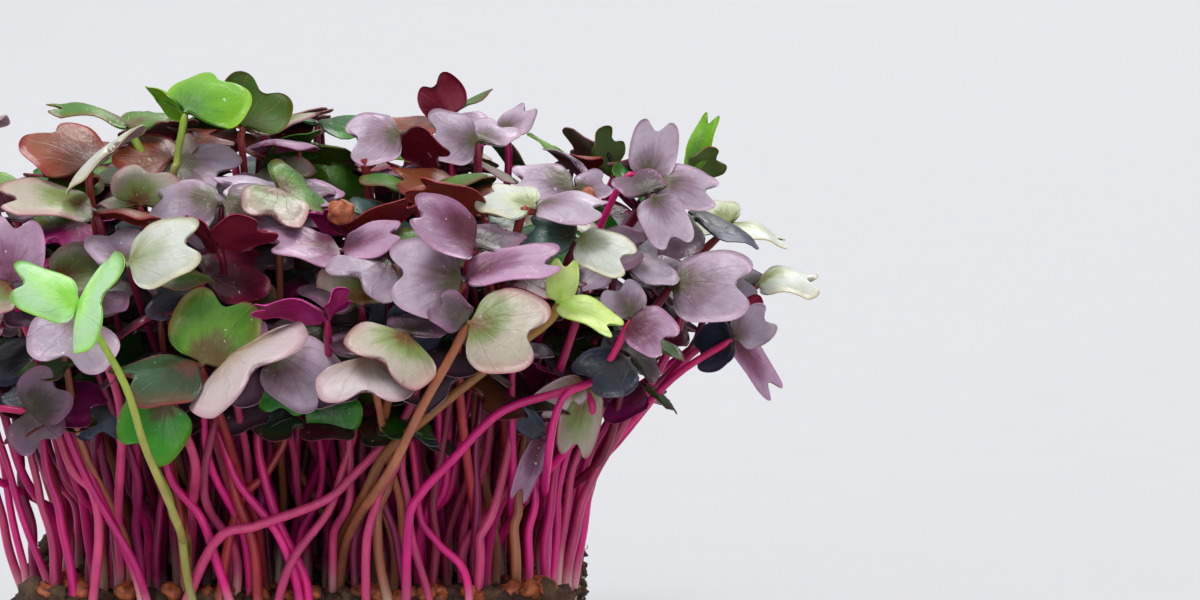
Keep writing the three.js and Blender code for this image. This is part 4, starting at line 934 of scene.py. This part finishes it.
# Stems that show under the leaves: where each is seen from its foot up, its depth, its colour
SHOWN_STEMS = [
    ([[-7.7, 1.5], [-12.5, 10.2], [-18, 18.8], [-20, 27]], -44, "magenta"),
    ([[-18, 1.5], [-11.4, 8.7], [-4.8, 11.1], [3.9, 14.4], [9, 18], [17, 27], [21, 38]], -47, "rose"),
    ([[-4.6, 1], [-5.1, 5], [-6.9, 12.6], [-9.2, 19.4], [-11.4, 27], [-12, 37]], -43, "brick"),
    ([[-11, 1], [-9.5, 8], [-6.9, 15.3], [-3.8, 18.9], [-0.9, 23.3], [0, 30]], -41, "brick"),
    ([[1.5, 2], [0, 6.3], [-7.8, 18], [-12, 28]], -45, "magenta"),
    ([[3, 1.5], [2, 3.2], [-3.8, 17.4], [-5, 28]], -43, "magenta"),
    ([[-2, 1], [-1, 3.2], [5.9, 14], [10, 26]], -46, "rose"),
    ([[11.1, -1], [11.7, 9.8], [13.4, 15.6], [16, 20.7], [20, 31]], -46, "rose"),
    ([[17.1, -1], [17.7, 10.8], [19.5, 15.6], [24, 20.9], [28.8, 25.8], [33.6, 29.1], [41.3, 31.4],
      [45.6, 32.9], [51, 36]], -48, "magenta"),
    ([[15.9, 0], [12.9, 9.8], [14.7, 17.4], [16, 28]], -44, "tan"),
    ([[17.5, 1], [16.8, 5], [14, 15.2], [12, 26]], -42, "plum"),
    ([[22.2, 0], [18.5, 9.2], [17, 20], [18, 32]], -45, "rose"),
    ([[27, 2], [26.1, 4.5], [21.8, 8.7], [19.4, 13.7], [18, 26]], -43, "magenta"),
    ([[27.8, 1], [27.8, 6.3], [28, 22.2], [29, 34]], -38, "plum"),
    ([[28, 2], [28.4, 6.9], [29.1, 10.8], [31.5, 16.4], [34, 30]], -40, "rose"),
    ([[33.8, 2], [33.8, 9.5], [34.2, 15.3], [36, 30]], -36, "tan"),
    ([[35.5, 2], [35.9, 8.7], [36.8, 16.8], [38, 30]], -34, "magenta"),
    ([[37.8, 2], [38.3, 5.7], [39.3, 16.8], [43, 32]], -32, "magenta"),
    ([[41, 2], [41.9, 6.8], [43.5, 12.6], [44.9, 17.7], [47.9, 22.5], [53, 32]], -24, "rose"),
    ([[42.5, 2], [43.6, 9], [44.5, 15], [46.6, 21.5], [50, 27.6], [54.5, 33], [58, 40], [59, 46]],
     -18, "magenta"),
    ([[41.3, 2], [42.2, 9], [43.2, 15.5], [45.2, 22], [48.6, 28.6], [52, 35], [54, 42]], -21, "magenta"),
    ([[40, 2], [40.8, 9], [41.8, 16], [43.6, 23], [46.6, 30], [49, 38]], -24, "rose"),
    ([[39.2, 2], [39.8, 9], [40.4, 16], [41.8, 24], [44, 32], [46, 40]], -27, "magenta"),
    ([[42, 2], [42.8, 8], [43.9, 14.5], [46, 21], [49.4, 27], [54.6, 32], [60.5, 38], [63, 46]], -12, "rose"),
    ([[41, 2], [41.8, 10], [42.6, 17], [44.6, 24], [47.6, 31], [50, 40]], -15, "magenta"),
    ([[38.2, 2], [38.6, 10], [39, 18], [40, 26], [41.5, 36]], -30, "rose"),
    ([[42.6, 2], [43.2, 8.5], [44.2, 14.5], [46.3, 20.6], [49.3, 26.4], [53.5, 32], [56, 42]], -6, "plum"),
    ([[40.4, 2], [40.6, 9], [41.2, 16], [42.4, 22], [44.8, 28.5], [48.4, 35], [50, 42]], -9, "magenta"),
    ([[-39.5, 2], [-40, 4.7], [-43.5, 22], [-46, 32]], -30, "magenta"),
    ([[-41, 2], [-42.5, 9], [-44.2, 17], [-46, 27], [-47, 34]], -22, "rose"),
    ([[-38, 2], [-38.6, 9], [-40.2, 18], [-41.4, 30]], -26, "plum"),
    ([[-35, 2], [-36, 10], [-38.4, 19], [-40, 31]], -38, "rose"),
    ([[-32, 1], [-33.6, 9], [-36, 18], [-38, 30]], -41, "magenta"),
    ([[-36, 1], [-36.5, 2.5], [-42.5, 20], [-45, 30]], -34, "magenta"),
    ([[-30.2, -1], [-28.8, 13.8], [-32.3, 19], [-36, 28]], -44, "rose"),
    ([[-22.5, 1], [-22.7, 1.8], [-32, 24.2], [-34, 32]], -43, "magenta"),
    ([[-20, -0.5], [-23.3, 5], [-32.9, 23.3], [-35, 31]], -45, "magenta"),
    ([[-14.2, -0.5], [-16.3, 8.7], [-18, 14.7], [-21.1, 22.3]], -49, "lime"),
]

# The colours of the leaves that fill the growth: those above TOP_LEAF, and the lower ones
TOP_TONES = ["sage", "lilac", "lilac", "olive", "green", "green", "olive", "maroon", "rose", "deep",
             "moss", "lime"]
TOP_LEAF = 86
LEAF_SEED = 5
CRUMB_SEED = 3
ROOT_SEED = 9
FILLER_SEED = 11
RIDGE_SEED = 21

# Leaves lower than this stay further back than the front, where the stems show
LOW_LEAF = 62
LOW_LEAF_FRONT = -24

# How many seedlings stand inside the growth, and how many more reach its top
STANDING = 190
CANOPY = 130
FILLER_DRAWS = 6
SEEDLINGS_A_PIECE = 20
# The lower leaves lean to dark tones: real leaf colours, chosen dark in part as painted shade inside the
# growth
FILL_TONES = (["dusk"] * 4 + ["ink"] * 2 + ["moss"] * 4 + ["maroon"] * 4 + ["olive"] * 2 + ["teal", "plum"]
              + ["deep"] * 2 + ["lilac"] * 2 + ["rose", "sage", "green"])
FILL_STEMS = ["magenta", "magenta", "magenta", "rose", "plum", "plum", "brick", "maroon", "tan"]


# Painted shade on a stem's colour, by how much light reaches down to its foot: full light at the block's
# edge, little in its middle
def foot_shade(x, y):
    outward = math.hypot(x, y) / BLOCK_HALF
    return 0.3 + 0.7 * min(max((outward - 0.5) / 0.4, 0), 1)


# Painted shade on a filling leaf's colours: the lower ones get little light and are darkened
def leaf_shade(height):
    return 0.42 + 0.53 * min(max((height - 62) / 30, 0), 1)


def filler_leaves(crown, jitter, size=1.0):
    leaves = []
    turn = jitter.uniform(0, 2 * math.pi)
    for side in (0, 1):
        angle = turn + side * math.pi + jitter.uniform(-0.5, 0.5)
        length = size * jitter.uniform(7, 9.5)
        tip = crown + Vector3(length * math.cos(angle), length * math.sin(angle),
                              length * jitter.uniform(-0.35, 0.35))
        face = [crown[0] / 80 + jitter.uniform(-0.4, 0.4), crown[1] / 80 + jitter.uniform(-0.4, 0.4), 0.9]
        width = size * jitter.uniform(10.5, 13)
        fold = jitter.uniform(-16, 8)
        tone = jitter.choice(TOP_TONES if crown[2] > TOP_LEAF else FILL_TONES)
        leaves.append(grown_leaf(crown, tip, leaf(tip, face, width, tone, 0.07, fold)))
    return leaves


# A seedling that only thickens the growth, or None where the one that was drawn doesn't fit there
def draw_filler(jitter, canopy, box):
    reach = BLOCK_HALF - 3
    x = jitter.uniform(-reach, reach)
    y = jitter.uniform(-reach, reach)
    if not inside_block(x, y, 3):
        return None
    foot = Vector3(x, y, SOIL_TOP)
    edge = min(math.hypot(x, y) / BLOCK_HALF, 1.1)
    spread = 1 + (0.5 if canopy else 0.3) * jitter.random()
    if canopy:
        tall = 70 - 22 * jitter.random() - 16 * edge * edge
    else:
        tall = 50 - 16 * jitter.random() - 12 * edge * edge
    crown = Vector3(x * spread + jitter.uniform(-5, 5), y * spread + jitter.uniform(-5, 5), SOIL_TOP + tall)
    crown[1] = max(crown[1], -44)
    middle = foot + (crown - foot) * 0.5 + Vector3(jitter.uniform(-4, 4), jitter.uniform(-4, 4), 0)
    low = foot + Vector3(jitter.uniform(-1, 1), jitter.uniform(-1, 1), 10)
    route = [lifted_foot(foot), low, middle, crown]
    drawn = dict(crown=crown, route=route, stem=jitter.choice(FILL_STEMS),
                 leaves=filler_leaves(crown, jitter), shade=foot_shade(x, y))
    points = probes(drawn)
    if np.any(points.min(axis=0) < box[0]) or np.any(points.max(axis=0) > box[1]):
        return None
    for point in [crown] + [blade["crown"] + blade["along"] * blade["length"] for blade in drawn["leaves"]]:
        if point[2] < LOW_LEAF and point[1] - 0.5 * abs(point[0]) < LOW_LEAF_FRONT:
            return None
    return drawn


def grow_fillers(jitter, others):
    fillers = []
    box = [np.array(corner) / MM for corner in cad_box]
    while len(fillers) < STANDING + CANOPY:
        versions = [lambda: draw_filler(jitter, len(fillers) >= STANDING, box)] * FILLER_DRAWS
        best = clearest(versions, others)
        if best is not None:
            fillers.append(best)
    return fillers


def shown_stem_seedlings(jitter):
    seedlings = []
    for points, depth, tone in SHOWN_STEMS:
        count = len(points)
        route = []
        for index, (across, up) in enumerate(points):
            inward = (index / (count - 1)) ** 1.5
            route.append(seen(across, up, depth + 3 * inward))
        low = route[0].copy()
        low[:2] = np.clip(low[:2], 1 - BLOCK_HALF, BLOCK_HALF - 1)
        low[2] = min(low[2], SOIL_TOP - 3)
        route[0] = low
        crown = route[-1]
        seedlings.append(dict(crown=crown, route=route, stem=tone, shade=1.0,
                              leaves=[] if tone == "lime" else filler_leaves(crown, jitter, 0.8)))
    return seedlings


# A small uneven ball, for a crumb or a seed's hull
def add_lump(gathered, centre, radius, squash, jitter, material, rings, spokes, rough):
    polar, around = np.meshgrid(np.linspace(0, math.pi, rings),
                                np.linspace(0, 2 * math.pi, spokes, endpoint=False), indexing="ij")
    unit = np.stack([np.sin(polar) * np.cos(around), np.sin(polar) * np.sin(around), np.cos(polar)], axis=-1)
    offset = np.array([jitter.uniform(-50, 50) for _ in range(3)])
    bumps = np.array([noise.noise(Vector(tuple(point * 1.7 + offset))) for point in unit.reshape(-1, 3)])
    bumps = bumps.reshape(unit.shape[:2])[..., None]
    bumps[0] = bumps[0].mean()
    bumps[-1] = bumps[-1].mean()
    points = unit * radius * (1 + rough * 2 * bumps) * np.array(squash)
    turn = Matrix.Rotation(jitter.uniform(0, 2 * math.pi), 3, "Z")
    lean = Matrix.Rotation(jitter.uniform(-0.6, 0.6), 3, "X")
    points = points.reshape(-1, 3) @ np.array(turn @ lean).T + centre
    gathered.add(points, grid_faces(rings, spokes, ring=True, flip=True), material, PLAIN)


# Joins points that coincide, so that each gathered piece is closed
def weld(piece):
    work = bmesh.new()
    work.from_mesh(piece.data)
    bmesh.ops.remove_doubles(work, verts=work.verts, dist=2e-6)
    work.to_mesh(piece.data)
    work.free()
    piece.data.update()


def make_seedlings(clumps, materials):
    jitter = seeded.Random(LEAF_SEED)
    for index, clump in enumerate(clumps):
        gathered = Gathered()
        for grown in clump["sprouts"]:
            foot = grown["route"][0]
            tone = grown["stem"] if grown["name"] != "wild" else jitter.choice(FILL_STEMS)
            add_stem(gathered, grown["route"], tone, jitter, (foot_shade(foot[0], foot[1]), 1))
            for blade in grown["leaves"]:
                add_leaf(gathered, blade, jitter)
            for name, place, radius in HULLS:
                if name == grown["name"]:
                    add_lump(gathered, seen(*place), radius, (1.1, 0.95, 0.85), jitter, 3, 14, 22, 0.2)
        piece = gathered.finish("seedlings_%02d" % (index + 1), materials)
        weld(piece)
        settle(piece, "sprouts_%02d" % (index + 1))


def make_fillers(materials, others):
    jitter = seeded.Random(FILLER_SEED)
    groups = {"inner_seedlings": grow_fillers(jitter, others), "front_stems": shown_stem_seedlings(jitter)}
    for label, seedlings in groups.items():
        for start in range(0, len(seedlings), SEEDLINGS_A_PIECE):
            gathered = Gathered()
            for grown in seedlings[start:start + SEEDLINGS_A_PIECE]:
                add_stem(gathered, grown["route"], grown["stem"], jitter, (grown["shade"], 0.8))
                for blade in grown["leaves"]:
                    add_leaf(gathered, blade, jitter, COARSE, leaf_shade(grown["crown"][2]))
            piece = gathered.finish("%s_%02d" % (label, start // SEEDLINGS_A_PIECE + 1), materials)
            weld(piece)
            settle(piece)


# Tray and compost

ARC_STEPS = 48
TRAY_POINTS = 160
SOIL_POINTS = 240
CRUMBS = 1500
RIDGE_CRUMBS = 64
SEEDS = 150
ROOTS = 170
ROOT_RADIUS = 0.09


# A square with round corners, drawn in by inset, with count points evenly spaced along it
def rounded_square(inset, z, count):
    corner = BLOCK_CORNER - inset
    outline = []
    for quarter, (sx, sy) in enumerate([(1, 1), (-1, 1), (-1, -1), (1, -1)]):
        for step in range(ARC_STEPS + 1):
            angle = (quarter + step / ARC_STEPS) * math.pi / 2
            outline.append((sx * BLOCK_STRAIGHT + corner * math.cos(angle),
                            sy * BLOCK_STRAIGHT + corner * math.sin(angle)))
    outline.append(outline[0])
    outline = np.array(outline)
    gone = np.concatenate([[0], np.cumsum(np.linalg.norm(np.diff(outline, axis=0), axis=1))])
    at = np.linspace(0, gone[-1], count, endpoint=False)
    return np.stack([np.interp(at, gone, outline[:, 0]), np.interp(at, gone, outline[:, 1]),
                     np.full(count, float(z))], axis=-1)


# A closed skin over rings, with a fan over each end
def loft(rings):
    rows = len(rings)
    count = len(rings[0])
    points = np.concatenate([*rings, rings[0].mean(axis=0)[None], rings[-1].mean(axis=0)[None]])
    faces = [tuple(face) for face in grid_faces(rows, count, ring=True).tolist()]
    last = (rows - 1) * count
    for i in range(count):
        beside = (i + 1) % count
        faces.append((rows * count, beside, i))
        faces.append((rows * count + 1, last + i, last + beside))
    return points, faces


# Part of a circle in a profile, as (inset, height) points
def fillet(centre_inset, centre_z, radius, start, end, steps=5):
    angles = [math.radians(start + (end - start) * step / steps) for step in range(steps + 1)]
    return [(centre_inset - radius * math.cos(a), centre_z + radius * math.sin(a)) for a in angles]


def make_tray():
    outside = -(GAP + TRAY_WALL)
    lip = outside - TRAY_FLARE - TRAY_LIP
    under_lip = TRAY_HEIGHT - 1.5
    profile = [(outside + 14, 0.6), (outside + 10, 0.6), (outside + 9.4, 0), (outside + 2.2, 0)]
    profile += fillet(outside + 1.6, 1.6, 1.6, -90, 0)
    profile += [(outside - 0.5 * TRAY_FLARE, 0.5 * under_lip), (outside - TRAY_FLARE, under_lip - 0.3)]
    profile += [(outside - TRAY_FLARE - 0.3, under_lip), (lip + 0.2, under_lip), (lip, under_lip + 0.2)]
    profile += fillet(lip + 0.8, TRAY_HEIGHT - 0.8, 0.8, 0, 90)
    profile += [(-GAP - TRAY_FLARE - 0.5, TRAY_HEIGHT), (-GAP - TRAY_FLARE, TRAY_HEIGHT - 0.5)]
    profile += [(-GAP, TRAY_FLOOR + 1), (-GAP + 1, TRAY_FLOOR)]
    points, faces = loft([rounded_square(inset, z, TRAY_POINTS) for inset, z in profile])
    plastic = make_grained("tray_plastic", 2400, [34, 35, 38], [44, 45, 48], (0.08, 0.0002), Roughness=0.45)
    tray = mesh_object("tray_shell", points, faces, [plastic])
    edges = tray.modifiers.new("edges", "EDGE_SPLIT")
    edges.split_angle = math.radians(50)
    settle(tray, "tray")


# How far a point of the compost stands out or up: lumps of several sizes
def soil_relief(point):
    where = Vector((float(point[0]), float(point[1]), float(point[2])))
    return (1.1 * noise.noise(where * 0.16) + 0.9 * noise.noise(where * 0.45)
            + 0.45 * abs(noise.noise(where * 1.1)))


def make_soil(materials):
    rings = []
    for inset, z in [(0.4, TRAY_FLOOR + GAP), (0, TRAY_FLOOR + 1.5), (0, TRAY_HEIGHT - 1)]:
        rings.append(rounded_square(inset, z, SOIL_POINTS))
    for z in np.linspace(TRAY_HEIGHT, SOIL_TOP - 2.2, 26):
        ring = rounded_square(0.2, z, SOIL_POINTS)
        fade = min((z - TRAY_HEIGHT) / 2, 1)
        for point in ring:
            out = point[:2] / np.linalg.norm(point[:2])
            point[:2] += out * soil_relief(point) * fade * 0.9
        rings.append(ring)
    top = [rounded_square(inset, SOIL_TOP - drop, SOIL_POINTS)
           for inset, drop in [(0.7, 1.1), (1.7, 0.4), (3, 0.1)]]
    for share in np.linspace(0.9, 0.03, 60):
        top.append(rounded_square(3, SOIL_TOP, SOIL_POINTS) * np.array([share, share, 1]))
    for ring in top:
        for point in ring:
            point[2] += 0.7 * soil_relief(point)
    points, faces = loft(rings + top)
    settle(mesh_object("compost_block", points, faces, materials[:1]), "soil_block")


# A random place on the compost's top or side, and the direction out of it there
def soil_spot(jitter, side_share):
    edge = rounded_square(0.2, 0, 720)
    if jitter.random() < side_share:
        place = edge[jitter.randrange(len(edge))].copy()
        out = Vector3(place[0], place[1], 0)
        out /= np.linalg.norm(out)
        place[2] = jitter.uniform(TRAY_HEIGHT + 0.5, SOIL_TOP - 1)
        return place + out * 0.4, out
    place = edge[jitter.randrange(len(edge))] * math.sqrt(jitter.random())
    place[2] = SOIL_TOP + 0.3
    return place, Vector3(0, 0, 1)


# A low ridge of bigger crumbs along the front edge, with seeds lying on it
def make_front_ridge(materials):
    jitter = seeded.Random(RIDGE_SEED)
    crumbs = Gathered()
    seeds = Gathered()
    for index in range(RIDGE_CRUMBS):
        across = (index + 0.5) / RIDGE_CRUMBS * 2 - 1 + jitter.uniform(-0.02, 0.02)
        radius = jitter.uniform(1.5, 2.7) + 1.0 * abs(across) ** 6
        place = Vector3(across * 39.5, jitter.uniform(-40.8, -38), SOIL_TOP + radius * 0.45)
        add_lump(crumbs, place, radius, (1.15, 0.9, 1.0), jitter, 0, 9, 14, 0.4)
        if jitter.random() < 0.4:
            size = jitter.uniform(1.2, 1.8)
            top = place + Vector3(jitter.uniform(-0.6, 0.6), -0.9, radius * 0.8 + size * 0.3)
            add_lump(seeds, top, size, (1.15, 0.95, 0.8), jitter, 1, 10, 14, 0.22)
    settle(crumbs.finish("front_crumbs", materials))
    settle(seeds.finish("front_seeds", materials))


def make_crumbs(materials):
    jitter = seeded.Random(CRUMB_SEED)
    for part in range(2):
        gathered = Gathered()
        for _ in range(CRUMBS // 2):
            place = soil_spot(jitter, 0.5)[0]
            radius = 0.35 + 1.0 * jitter.random() ** 2
            add_lump(gathered, place, radius, (1.15, 0.9, 0.8), jitter, 0, 6, 9, 0.35)
        settle(gathered.finish("compost_crumbs_%d" % (part + 1), materials))
    gathered = Gathered()
    for _ in range(SEEDS):
        place, out = soil_spot(jitter, 0.3)
        radius = jitter.uniform(1.0, 1.7)
        add_lump(gathered, place + out * 0.5, radius, (1.15, 0.95, 0.7), jitter, 1, 10, 14, 0.22)
    settle(gathered.finish("seed_hulls", materials))


def make_roots(materials):
    jitter = seeded.Random(ROOT_SEED)
    gathered = Gathered()
    for _ in range(ROOTS):
        place, out = soil_spot(jitter, 0.85)
        route = [place - out * 0.6]
        heading = np.array([jitter.uniform(-1, 1) for _ in range(3)])
        for _ in range(4):
            heading = heading * 0.6 + np.array([jitter.uniform(-1, 1) for _ in range(3)])
            heading = heading - out * float(heading @ out) * 0.8
            route.append(route[-1] + heading / np.linalg.norm(heading) * jitter.uniform(0.8, 1.6))
        for index in range(1, 5):
            route[index] = route[index] + out * jitter.uniform(0.2, 0.9)
            route[index][2] = min(max(route[index][2], TRAY_HEIGHT + 0.4), SOIL_TOP + 1.5)
        add_root(gathered, route)
    settle(gathered.finish("fine_roots", materials))


# A root hair: a thin tube along a route
def add_root(gathered, route, rings=16, spokes=5):
    centres = np.array([curve_point(route, step / (rings - 1)) for step in range(rings)])
    thin = ROOT_RADIUS * np.sqrt(np.clip(1 - np.linspace(-1, 1, rings) ** 8, 0.05, 1))
    points = tube(centres, line_ahead(centres), thin, spokes, [0.31, 0.22, 0.92])
    gathered.add(points, grid_faces(rings, spokes, ring=True), 2, PLAIN)


# Camera, light and floor

SKY_LOW = 0.12
SKY_HIGH = 0.95
FLOOR_HALF = 6000


def make_camera():
    data = bpy.data.cameras.new("camera")
    data.lens = 180
    data.sensor_width = 36
    data.sensor_fit = "HORIZONTAL"
    data.clip_end = 10
    camera = bpy.data.objects.new("camera", data)
    forward = Vector((0, math.cos(EYE_TILT), -math.sin(EYE_TILT)))
    camera.location = (EYE_TARGET - forward * EYE_DISTANCE) * MM
    camera.rotation_euler = (math.pi / 2 - EYE_TILT, 0, 0)
    bpy.context.scene.collection.objects.link(camera)
    bpy.context.scene.camera = camera


def make_light(name, place, aim, size, power):
    data = bpy.data.lights.new(name, "AREA")
    data.shape = "DISK"
    data.size = size
    data.energy = power
    light = bpy.data.objects.new(name, data)
    light.location = place
    light.rotation_euler = (Vector(aim) - Vector(place)).to_track_quat("-Z", "Y").to_euler()
    bpy.context.scene.collection.objects.link(light)


def make_world():
    world = bpy.data.worlds.new("studio")
    world.use_nodes = True
    tree = world.node_tree
    background = tree.nodes["Background"]
    background.inputs["Color"].default_value = (*linear([250, 250, 255]), 1)
    split = tree.nodes.new("ShaderNodeSeparateXYZ")
    tree.links.new(tree.nodes.new("ShaderNodeTexCoord").outputs["Generated"], split.inputs[0])
    upward = tree.nodes.new("ShaderNodeMapRange")
    upward.inputs["From Min"].default_value = -0.1
    upward.inputs["From Max"].default_value = 0.9
    upward.inputs["To Min"].default_value = SKY_LOW
    upward.inputs["To Max"].default_value = SKY_HIGH
    tree.links.new(split.outputs["Z"], upward.inputs["Value"])
    tree.links.new(upward.outputs["Result"], background.inputs["Strength"])
    bpy.context.scene.world = world
    bpy.context.scene.view_settings.view_transform = "Standard"


def make_floor():
    paper = make_grained("floor_paper", 60, [189, 190, 192], [191, 192, 194], Roughness=0.9,
                         Specular_IOR_Level=0.0)
    corners = [(x * FLOOR_HALF, y * FLOOR_HALF, 0) for x, y in [(-1, -1), (1, -1), (1, 1), (-1, 1)]]
    mesh_object("floor", corners, [(0, 1, 2, 3)], [paper])


make_camera()
make_world()
make_floor()
make_light("key", (-0.7, -0.5, 2.2), (0, 0.2, 0.07), 1.0, 34)
make_light("back", (0.6, 1.6, 1.6), (0, 0, 0.07), 0.9, 20)
make_light("front", (0.3, -1.5, 0.25), (0, 0, 0.05), 0.8, 5)
leaf_materials = [make_leaf_upper(), make_leaf_lower(), make_stem_material(), make_hull_material()]
root_material = make_grained("roots", 800, [232, 218, 196], [190, 168, 138], Roughness=0.6)
soil_materials = [make_soil_material(), leaf_materials[3], root_material]
clumps = clump_places()
others = grow_all(clumps, random_from(SEEDLING_SEED))
make_seedlings(clumps, leaf_materials)
make_fillers(leaf_materials, others)
make_tray()
make_soil(soil_materials)
make_crumbs(soil_materials)
make_front_ridge(soil_materials)
make_roots(soil_materials)
